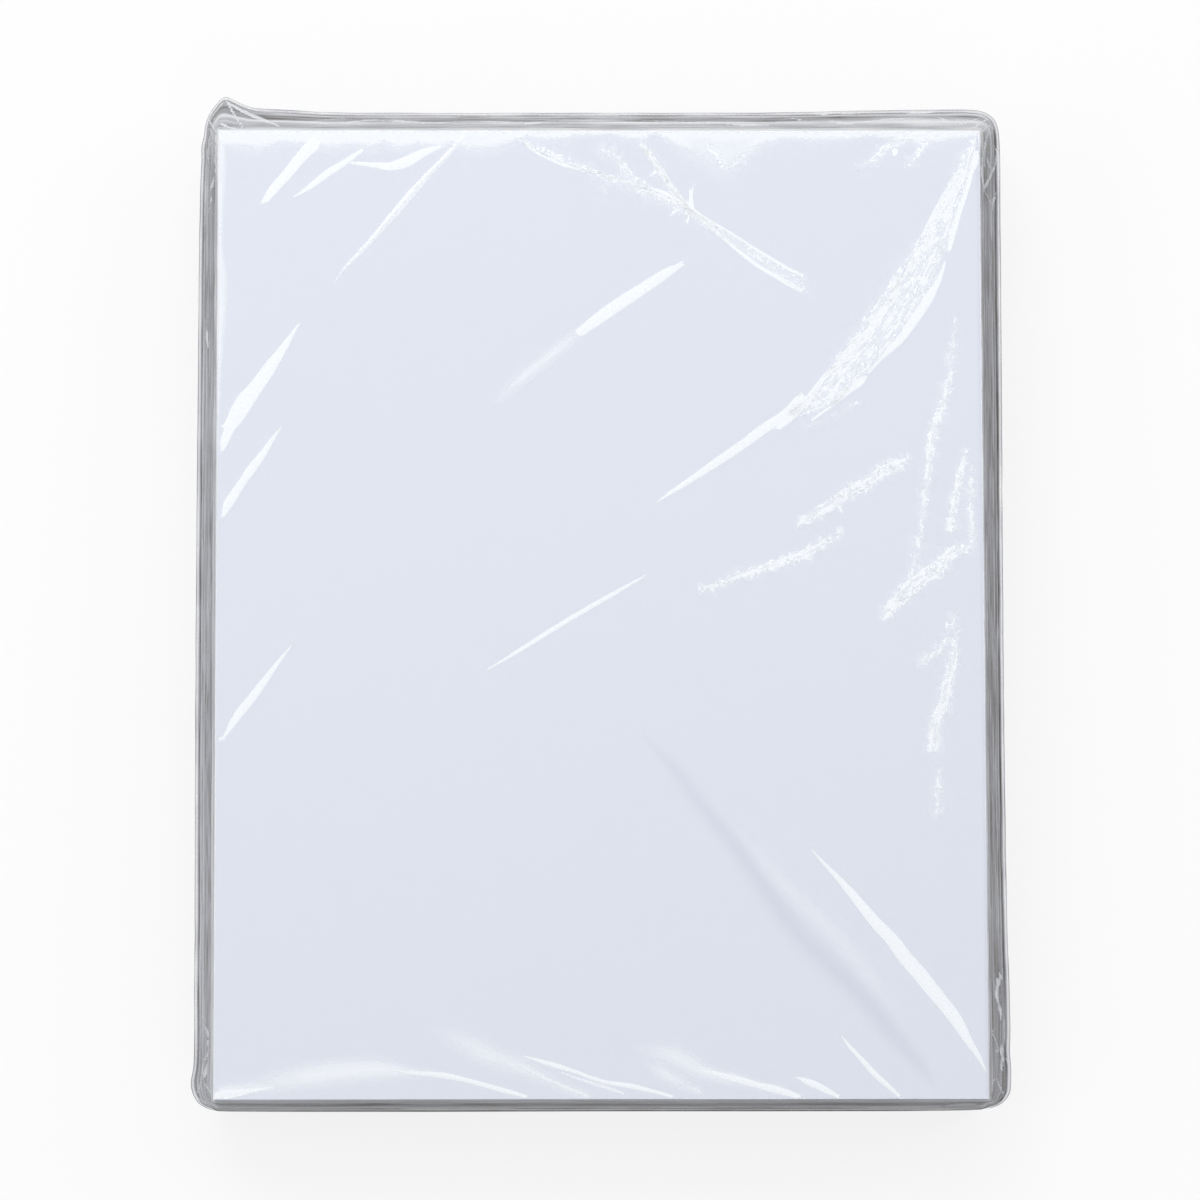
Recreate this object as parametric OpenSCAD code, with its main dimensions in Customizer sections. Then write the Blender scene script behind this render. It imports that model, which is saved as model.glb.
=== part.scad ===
// Ream of drawing paper in clear shrink film.
// The stack lies flat. The origin is the middle of its underside, +Y is its long way
// and +Z is up. The film is one folded sheet: its fold turns under the front (-Y) side,
// and a welded seam runs round the left, back and right sides at half height.
// All sizes are in millimetres.

/* [Paper] */
// Width of a sheet
sheet_w = 279.4; // [200:0.1:420]
// Length of a sheet
sheet_l = 355.6; // [260:0.1:600]
// Thickness of one sheet
sheet_t = 0.1; // [0.07:0.01:0.16]
// Number of sheets
sheet_count = 500; // [350:10:700]

/* [Film] */
// Wall of the film
film_t = 0.25; // [0.15:0.05:0.5]
// Space between the film and the paper
film_gap = 0.1; // [0.05:0.05:0.4]
// How far the folded front of the film stands off the paper
fold_out = 1.4; // [0.8:0.1:4]

/* [Seam] */
// How far the seam stands out from the paper on the left
seam_out_left = 8; // [5:0.1:14]
// How far the seam stands out from the paper on the right
seam_out_right = 8.6; // [5:0.1:14]
// How far the seam stands out from the paper at the back
seam_out_back = 13.4; // [5:0.1:18]
// Width of the welded bead along the seam
bead_w = 1.1; // [0.6:0.1:2]
// Thickness of the welded bead
bead_t = 0.9; // [0.5:0.1:2]

/* [Corners] */
// Radius of the seam's outline at the back corners
back_corner_r = 11; // [6:0.5:16]
// Radius of the seam's outline at the front corners
front_corner_r = 5; // [3:0.5:9]
// How far the fold of film at the back left corner peaks past the seam
ear_peak = 6.5; // [2:0.5:12]
// How far the film bulges past the seam at the front corners
ear_bulge = 1.6; // [0.5:0.1:4]
// Reach of each of these corner folds along the seam
ear_reach = 9; // [5:0.5:14]
// Depth of the gathers beside the corners
gather_depth = 1.3; // [0.4:0.1:2]
// Distance from a corner over which the gathers fade out
gather_reach = 34; // [15:1:60]

/* [Vent] */
// Diameter of the hole in the back wall that let the air out as the film shrank
vent_d = 2.5; // [1.5:0.1:5]
// Distance of the vent to the right of the middle
vent_x = 95; // [-90:1:95]

/* [Creases] */
// Height of the film's sharp creases over its flat top
crease_h = 1.1; // [0.4:0.1:2.5]
// Width of the film's sharp creases
crease_w = 3.2; // [1.5:0.1:6]
// Height of the film's low, soft folds
soft_h = 0.7; // [0.3:0.1:1.5]
// Width of the film's low, soft folds
soft_w = 6; // [3:0.5:10]

/* [Hidden] */

// Heights, from the underside of the film up
stack_z = film_t + film_gap;
stack_h = sheet_t * sheet_count;
film_top = stack_z + stack_h + film_gap + film_t;
seam_z = film_top / 2;

// Distances of the film's outer face from the middle, in the order right, back, left, front
shell = film_gap + film_t;
edge_box = [
    sheet_w / 2 + shell,
    sheet_l / 2 + shell,
    sheet_w / 2 + shell,
    sheet_l / 2 + shell
];
seam_box = [
    sheet_w / 2 + seam_out_right - bead_w,
    sheet_l / 2 + seam_out_back - bead_w,
    sheet_w / 2 + seam_out_left - bead_w,
    sheet_l / 2 + shell + fold_out
];

// Corner radii in the order front right, back right, back left, front left
edge_radii = [shell, shell, shell, shell];
seam_radii = [front_corner_r, back_corner_r, back_corner_r, front_corner_r];

// Steps round a corner, and along the sides in the order right, back, left, front
corner_steps = 5;
side_steps = [34, 28, 34, 28];

// How strongly the steps along a side crowd towards its ends, from 0 to 1
crowding = 0.72;

// Shares of the way from the paper's edge out to the seam at which the film has a ring
ring_shares = [0.28, 0.55, 0.82];

// Most that a gather may take of the film's distance from the paper
gather_limit = 0.5;

// Width of the line along the folded front, as a share of the welded bead
fold_line_share = 0.25;

// How far the rim's middle ring is from its ends, as a share of its radius
rim_middle = 1 - cos(45);

// Where the corner folds stand, from the middle, which way each pushes out, and how much wider
// than the named reach it is
back_left = [-seam_box[2], seam_box[1]];
front_left = [-seam_box[2], -seam_box[3]];
front_right = [seam_box[0], -seam_box[3]];
back_right = [seam_box[0], seam_box[1]];
ears = [
    [back_left + [8, 0], ear_peak * [-0.15, 1], 0.75],
    [back_left + [0, -9], ear_peak * [0.12, 0], 0.9],
    [front_left + [0, 12], ear_bulge * [-1, 0], 1],
    [front_right + [0, 12], ear_bulge * [1, 0], 1.4],
    [front_right + [0, 40], ear_bulge * [0.5, 0], 2.5],
    [back_right + [-2, -2], ear_bulge * [0.8, 0.8], 1]
];

// Folds in the film over the paper's face. Each has its width and height as a share of the
// named ones, then its places in percent of the face: across from the left edge, and
// forward from the back edge.
sharp_creases = [
    [1, 0.9, [[11.5, 1.7], [8.6, 4.6], [5.8, 7.5]]],
    [0.6, 0.7, [[18.2, 2.5], [10, 6.8]]],
    [0.5, 0.6, [[31.6, 1.7], [21.8, 10.1], [15.8, 15.4]]],
    [0.5, 0.5, [[29.4, 1.7], [22, 3.7], [17.8, 3.4]]],
    [1.1, 1, [[10.5, 20.3], [6.9, 24], [3.2, 28.3], [1, 31.5]]],
    [0.8, 0.9, [[8.2, 31.1], [4.5, 34.8], [1.3, 39.2]]],
    [0.9, 0.9, [[60.6, 14.1], [48.8, 21.2], [36.1, 28.9]]],
    [0.6, 0.9, [[55.6, 46.5], [45.8, 51.1], [35.3, 56.2]]],
    [0.7, 0.8, [[9.8, 53.7], [5.8, 57.9], [1.1, 63.1]]],
    [0.9, 1, [[39, 0.9], [50.2, 4.5], [61.4, 8.4]]],
    [0.7, 0.8, [[56.1, 1.4], [61.4, 7.9]]],
    [1, 1, [[62, 8.4], [69.5, 12.4], [77, 16.9]]],
    [0.8, 0.8, [[57.3, 0.9], [67.1, 3.8], [70.5, 1.8]]],
    [0.7, 0.8, [[91.3, 0.9], [85.8, 3.1]]],
    [0.7, 0.8, [[93.4, 0.9], [91.2, 3.7]]],
    [1.2, 1, [[98.6, 1.6], [93.2, 9.2], [89, 16.4], [82.6, 23.6], [75.3, 29.2], [57.5, 38.7]]],
    [1.1, 1, [[98.9, 2.4], [96, 9.4], [92.8, 17.4], [86.3, 24.4], [80.6, 29.4]]],
    [0.9, 0.9, [[94.6, 10.6], [90.9, 17], [84.5, 24], [78.2, 29.7]]],
    [0.7, 0.7, [[83.7, 29.1], [77, 31.1]]],
    [0.9, 0.9, [[90.3, 34.2], [83.2, 37.4], [75.7, 41.2]]],
    [0.8, 0.8, [[81, 42], [72.2, 45.3], [63, 47.8]]],
    [1.2, 1, [[98.4, 43.3], [93.8, 46], [86.4, 51.1]]],
    [0.7, 0.7, [[96.7, 19.6], [95.6, 26.4], [93.4, 31.9], [91.9, 40.6], [90.5, 46.2]]],
    [0.6, 0.7, [[98.4, 32.9], [96.5, 37.9], [95.4, 42.6]]],
    [0.6, 0.5, [[96.3, 49.8], [91.7, 55.7]]],
    [0.6, 0.5, [[96.3, 53.7], [93, 64.5]]],
    [0.9, 1, [[77.5, 74.7], [82.6, 79], [87, 83.1], [93.6, 90], [98.9, 96.2]]],
    [0.6, 0.8, [[81.1, 93.6], [88, 99.2]]],
    [0.9, 0.9, [[0.9, 99.1], [11.1, 97.6], [20.5, 96.4], [30.2, 97.9], [40.2, 99.2]]],
    [0.6, 0.7, [[44, 96.4], [49.8, 98]]],
    [0.6, 0.7, [[49.8, 97.4], [58.4, 99.2]]],
    [0.7, 0.8, [[63.6, 97], [75, 99.2]]],
    [0.6, 0.7, [[75.7, 97.9], [80.2, 99.2]]]
];
soft_folds = [
    [1.2, 1, [[55.5, 62.8], [64.4, 70.9], [73.2, 79.7], [83.6, 89.3], [93, 98.4]]],
    [1, 0.9, [[26.1, 92.1], [37.4, 95.8], [48, 99]]],
    [0.8, 0.8, [[54.3, 94.5], [64.6, 97.2]]],
    [0.8, 0.9, [[1.5, 1.6], [14, 2.2], [27, 1.4], [38, 1.8]]],
    [0.8, 0.8, [[41, 1.4], [54, 1.2]]],
    [0.8, 0.8, [[71, 1.6], [84, 1.2]]]
];

// Height of the vent as a share of the seam's height
vent_height_share = 0.5;

// How far the foot of a crease is sunk into the film's wall, as a share of it
crease_sink = 0.5;

// Width and height of a crease at its two ends, as a share of its own
tip_share = 0.12;

function lerp(a, b, t) = a + (b - a) * t;

// Centre of a ring's corner: 0 front right, 1 back right, 2 back left, 3 front left
function corner_centre(k, box, r) = [
    [box[0] - r, -box[3] + r],
    [box[0] - r, box[1] - r],
    [-box[2] + r, box[1] - r],
    [-box[2] + r, -box[3] + r]
][k];

// Points round one corner of a ring, turning to the left
function corner_arc(k, box, radii) =
    let (c = corner_centre(k, box, radii[k]))
    [
        for (j = [0 : corner_steps])
        let (a = 90 * (k - 1) + 90 * j / corner_steps)
        c + radii[k] * [cos(a), sin(a)]
    ];

// Points along one side of a ring, between two corners and crowded towards them
function side_run(k, box, radii) =
    let (
        from = corner_arc(k, box, radii)[corner_steps],
        to = corner_arc((k + 1) % 4, box, radii)[0],
        n = side_steps[k]
    )
    [
        for (j = [1 : n - 1])
        let (t = j / n)
        lerp(from, to, t - crowding * sin(360 * t) / (2 * PI))
    ];

// One closed ring of points round the pack
function ring(box, radii) = [
    for (k = [0 : 3])
    each concat(corner_arc(k, box, radii), side_run(k, box, radii))
];

// The push of all the corner folds on one point of the seam
function ear_push(p, i = 0) =
    i == len(ears)
        ? [0, 0]
        : ears[i][1] * exp(-pow(norm(p - ears[i][0]) / (ear_reach * ears[i][2]), 2))
            + ear_push(p, i + 1);

// How strong the gathers are at a point: 1 at a corner of the paper, 0 far from it
function gather_at(p) =
    exp(-norm([abs(p[0]) - sheet_w / 2, abs(p[1]) - sheet_l / 2]) / gather_reach * 2);

// How far a point lies out from the paper
function stand_off(p) =
    norm([max(abs(p[0]) - sheet_w / 2, 0), max(abs(p[1]) - sheet_l / 2, 0)]);

// Four sizes, each less by the same amount
function inset_by(sizes, d) = [for (s = sizes) s - d];

// The way straight out of the pack at each point of a ring
normals = ring([1, 1, 1, 1], [1, 1, 1, 1]);

// One ring of the film's wall, at a share of the way out from the edge to the seam.
// Every second point stands in and the others out, which makes the gathers. They are
// deepest half way and gone at both ends. The inner skin is inset by the wall.
function wall_ring(share, z, inset) =
    let (
        edge = ring(edge_box, edge_radii),
        seam = ring(seam_box, seam_radii),
        half_way = 4 * share * (1 - share)
    )
    [
        for (i = [0 : len(edge) - 1])
        let (
            p = lerp(edge[i], seam[i] + ear_push(seam[i]), share),
            room = gather_limit * max(stand_off(p) - shell, 0),
            depth = min(gather_depth * gather_at(p) * half_way, room),
            turn = i % 2 == 0 ? -1 : 1
        )
        concat(p + (turn * depth - inset) * normals[i], z)
    ];

// The ring along the bead's outer edge, which is only a soft line on the folded front
function bead_ring() =
    let (seam = wall_ring(1, seam_z, 0))
    [
        for (i = [0 : len(seam) - 1])
        let (w = seam[i][1] < -sheet_l / 2 ? bead_w * fold_line_share : bead_w)
        seam[i] + w * concat(normals[i], 0)
    ];

// The rounded rim at the paper's edge: a ring at a height, drawn in to start the flat face
function rim_ring(z, inset, drawn_in) = [
    for (p = ring(inset_by(edge_box, inset + drawn_in), inset_by(edge_radii, inset)))
    concat(p, z)
];

// All rings of the film's wall from the underside up, inset by 0 outside and by the wall
// inside. The rim is a round bend about the paper's own edge.
function film_rings(inset) =
    let (
        r = shell - inset,
        half_bead = (bead_t - inset) / 2
    )
    concat(
        [
            rim_ring(inset, inset, r),
            rim_ring(inset + r * rim_middle, inset, r * rim_middle),
            wall_ring(0, stack_z, inset)
        ],
        [for (s = ring_shares) wall_ring(s, lerp(stack_z, seam_z, s), inset)],
        [wall_ring(1, seam_z - half_bead, inset)],
        inset == 0 ? [bead_ring()] : [],
        [wall_ring(1, seam_z + half_bead, inset)],
        [for (i = [len(ring_shares) - 1 : -1 : 0])
            wall_ring(ring_shares[i], lerp(film_top - stack_z, seam_z, ring_shares[i]), inset)],
        [
            wall_ring(0, film_top - stack_z, inset),
            rim_ring(film_top - inset - r * rim_middle, inset, r * rim_middle),
            rim_ring(film_top - inset, inset, r)
        ]
    );

// A closed solid with its skin through a pile of rings that have as many points each
module ring_pile(rings) {
    n = len(rings[0]);
    last = len(rings) - 1;
    walls = [
        for (k = [0 : last - 1])
        for (i = [0 : n - 1])
        let (
            a = k * n + i,
            b = k * n + (i + 1) % n,
            c = b + n,
            d = a + n
        )
        each [[a, d, c], [a, c, b]]
    ];
    floor_face = [for (i = [0 : n - 1]) i];
    top_face = [for (i = [n - 1 : -1 : 0]) last * n + i];
    polyhedron(points = [for (r = rings) each r], faces = concat([floor_face], walls, [top_face]));
}

// A place on the paper's face, given in percent
function on_face(place) = [
    sheet_w * (place[0] / 100 - 0.5),
    sheet_l * (0.5 - place[1] / 100)
];

// Stations along a fold: its own places, with one more half way where there are only two
function stations(places) =
    len(places) == 2
        ? [on_face(places[0]), on_face((places[0] + places[1]) / 2), on_face(places[1])]
        : [for (p = places) on_face(p)];

// The three corners of a fold's section at one of its stations: foot, crest, foot
function fold_section(path, i, width, height) =
    let (
        n = len(path),
        d = path[min(i + 1, n - 1)] - path[max(i - 1, 0)],
        taper = i == 0 || i == n - 1 ? tip_share : 1,
        side = [-d[1], d[0]] / norm(d) * width * taper / 2,
        foot = film_top - film_t * crease_sink
    )
    [
        concat(path[i] + side, foot),
        concat(path[i], film_top + height * taper),
        concat(path[i] - side, foot)
    ];

// One pinched fold that stands on the film's top and tapers towards both ends
module crease(width, height, places) {
    path = stations(places);
    for (i = [0 : len(path) - 2])
        hull()
            polyhedron(
                points = concat(
                    fold_section(path, i, width, height),
                    fold_section(path, i + 1, width, height)
                ),
                faces = [[0, 1, 2], [3, 5, 4], [0, 3, 4, 1], [1, 4, 5, 2], [2, 5, 3, 0]]
            );
}

// The sheets, jogged square and kept as one block
module paper_stack() {
    color([0.87, 0.90, 0.95])
        translate([-sheet_w / 2, -sheet_l / 2, stack_z])
            cube([sheet_w, sheet_l, stack_h]);
}

// The round vent, cut straight out through the back wall below the seam
module vent_hole() {
    translate([vent_x, sheet_l / 2, seam_z * vent_height_share])
        rotate([-90, 0, 0])
            cylinder(d = vent_d, h = seam_out_back, $fn = 24);
}

// The hollow film with its seam, corner folds, gathers and creases
module shrink_film() {
    color([0.85, 0.88, 0.92, 0.4])
        union() {
            difference() {
                ring_pile(film_rings(0));
                ring_pile(film_rings(film_t));
                vent_hole();
            }
            for (c = sharp_creases)
                crease(c[0] * crease_w, c[1] * crease_h, c[2]);
            for (c = soft_folds)
                crease(c[0] * soft_w, c[1] * soft_h, c[2]);
        }
}

paper_stack();
shrink_film();
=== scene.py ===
"""Looks of a ream of drawing paper sealed in clear shrink film, dressed round its solids."""

import logging
import math
from dataclasses import dataclass, field
from enum import Enum
from typing import Callable

import bpy
import numpy as np
from mathutils import Euler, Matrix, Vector
from mathutils.geometry import delaunay_2d_cdt


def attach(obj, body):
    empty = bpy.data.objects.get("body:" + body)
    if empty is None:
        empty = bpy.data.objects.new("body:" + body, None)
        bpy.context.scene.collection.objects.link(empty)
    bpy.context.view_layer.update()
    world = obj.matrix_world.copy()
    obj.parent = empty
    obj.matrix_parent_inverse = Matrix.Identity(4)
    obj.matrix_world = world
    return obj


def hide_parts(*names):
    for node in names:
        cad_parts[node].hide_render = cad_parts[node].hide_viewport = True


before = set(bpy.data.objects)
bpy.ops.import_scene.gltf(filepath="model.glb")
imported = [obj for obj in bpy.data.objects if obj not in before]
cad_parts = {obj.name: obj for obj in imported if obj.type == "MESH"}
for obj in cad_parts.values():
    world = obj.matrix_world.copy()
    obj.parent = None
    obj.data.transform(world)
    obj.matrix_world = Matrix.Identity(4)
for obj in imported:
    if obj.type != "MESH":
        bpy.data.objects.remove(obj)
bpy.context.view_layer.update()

LOG = logging.getLogger("ream")

# One millimetre in the frame's own unit, the metre
MM = 0.001

# Half the width and half the length of a sheet, in millimetres
HALF_W = 139.7
HALF_L = 177.8
HALF = (HALF_W, HALF_L)

# Heights over the floor, in millimetres: the stack's own, the film's top and its seam
STACK_LOW = 0.35
STACK_HIGH = 50.35
FILM_TOP = 50.7
SEAM_Z = 25.35

# The film's outline at the seam, seen from above, in millimetres from the middle of the
# pack. It turns to the left from the front right corner and has the peaked fold of film
# at the back left corner.
OUTLINE = (
    (148.2, -175.6), (149.3, -173.6), (149.5, -170), (149.6, -165), (149.1, -158.5),
    (149.5, -150), (149.4, -139.5), (149.2, -130.5), (148.9, -122), (148.7, -108),
    (148.5, -85), (148.4, -60), (148.4, -25), (148.5, 10), (148.6, 45), (148.8, 80),
    (148.9, 112), (149, 150), (149.1, 172), (149, 179), (148.7, 183), (148, 186.1),
    (146.8, 188.1), (144.8, 189.7), (141.8, 190.9), (136, 191.4), (120, 191.2),
    (104, 191), (90, 190.8), (80, 190.4), (60, 190.1), (0, 190), (-60, 189.9),
    (-92, 189.9), (-103, 190.2), (-114, 190.9), (-122, 191.3), (-128, 191.8),
    (-132.6, 193.5), (-136.3, 195.4), (-137.9, 196.1), (-138.8, 196),
    (-139.9, 195), (-142.8, 191.5), (-144.6, 188.5), (-145.6, 185.2), (-146.1, 181),
    (-147.1, 177), (-146.9, 173), (-147.3, 162), (-147.6, 143), (-147.8, 110),
    (-147.9, 70), (-148.1, 20), (-148.1, -40), (-148, -85), (-147.9, -118),
    (-148, -135), (-147.9, -153), (-148, -162), (-148.3, -165.3), (-149, -168.6),
    (-149, -171), (-148.4, -173.6), (-147.2, -176.2), (-145.6, -177.9),
    (-143.4, -179.1), (-140.5, -179.9), (-136, -180.1), (-110, -180.3), (-60, -180.4),
    (0, -180.3), (60, -180.4), (110, -180.4), (130, -180.1), (138, -179.8),
    (143, -179.2), (146, -177.9),
)


class Fold(Enum):
    """Ways in which the film is folded, each with its painted highlight or painted shade."""

    # Pulled and broken folds are relief whose white is partly milky film and partly painted
    # highlight
    PULLED = "a smooth bright fold"
    CRUMPLED = "a band broken up into small facets"
    GLINTS = "a row of small bright dents"
    # A swell is a painted highlight without relief, and a valley is low relief with painted shade
    SWELL = "a soft white glow without relief"
    VALLEY = "a low soft hollow"

    @property
    def broken(self) -> bool:
        """Whether the film is broken up into facets or dents."""
        return self in (Fold.CRUMPLED, Fold.GLINTS)


@dataclass(frozen=True)
class Crease:
    """One fold in the film, as stations seen from above.

    Each station is its place across and along the pack and half the fold's width there,
    all in millimetres. The number after the fold is how white it is, partly milky film and
    partly painted highlight, or for a valley how strong its painted shade is, and the height
    how strong its relief, which is 0 for a swell.
    """

    fold: Fold
    # how white the fold is, partly painted highlight, or how strong a valley's painted shade is
    haze: float
    height: float
    stations: tuple[tuple[float, float, float], ...]
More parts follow.
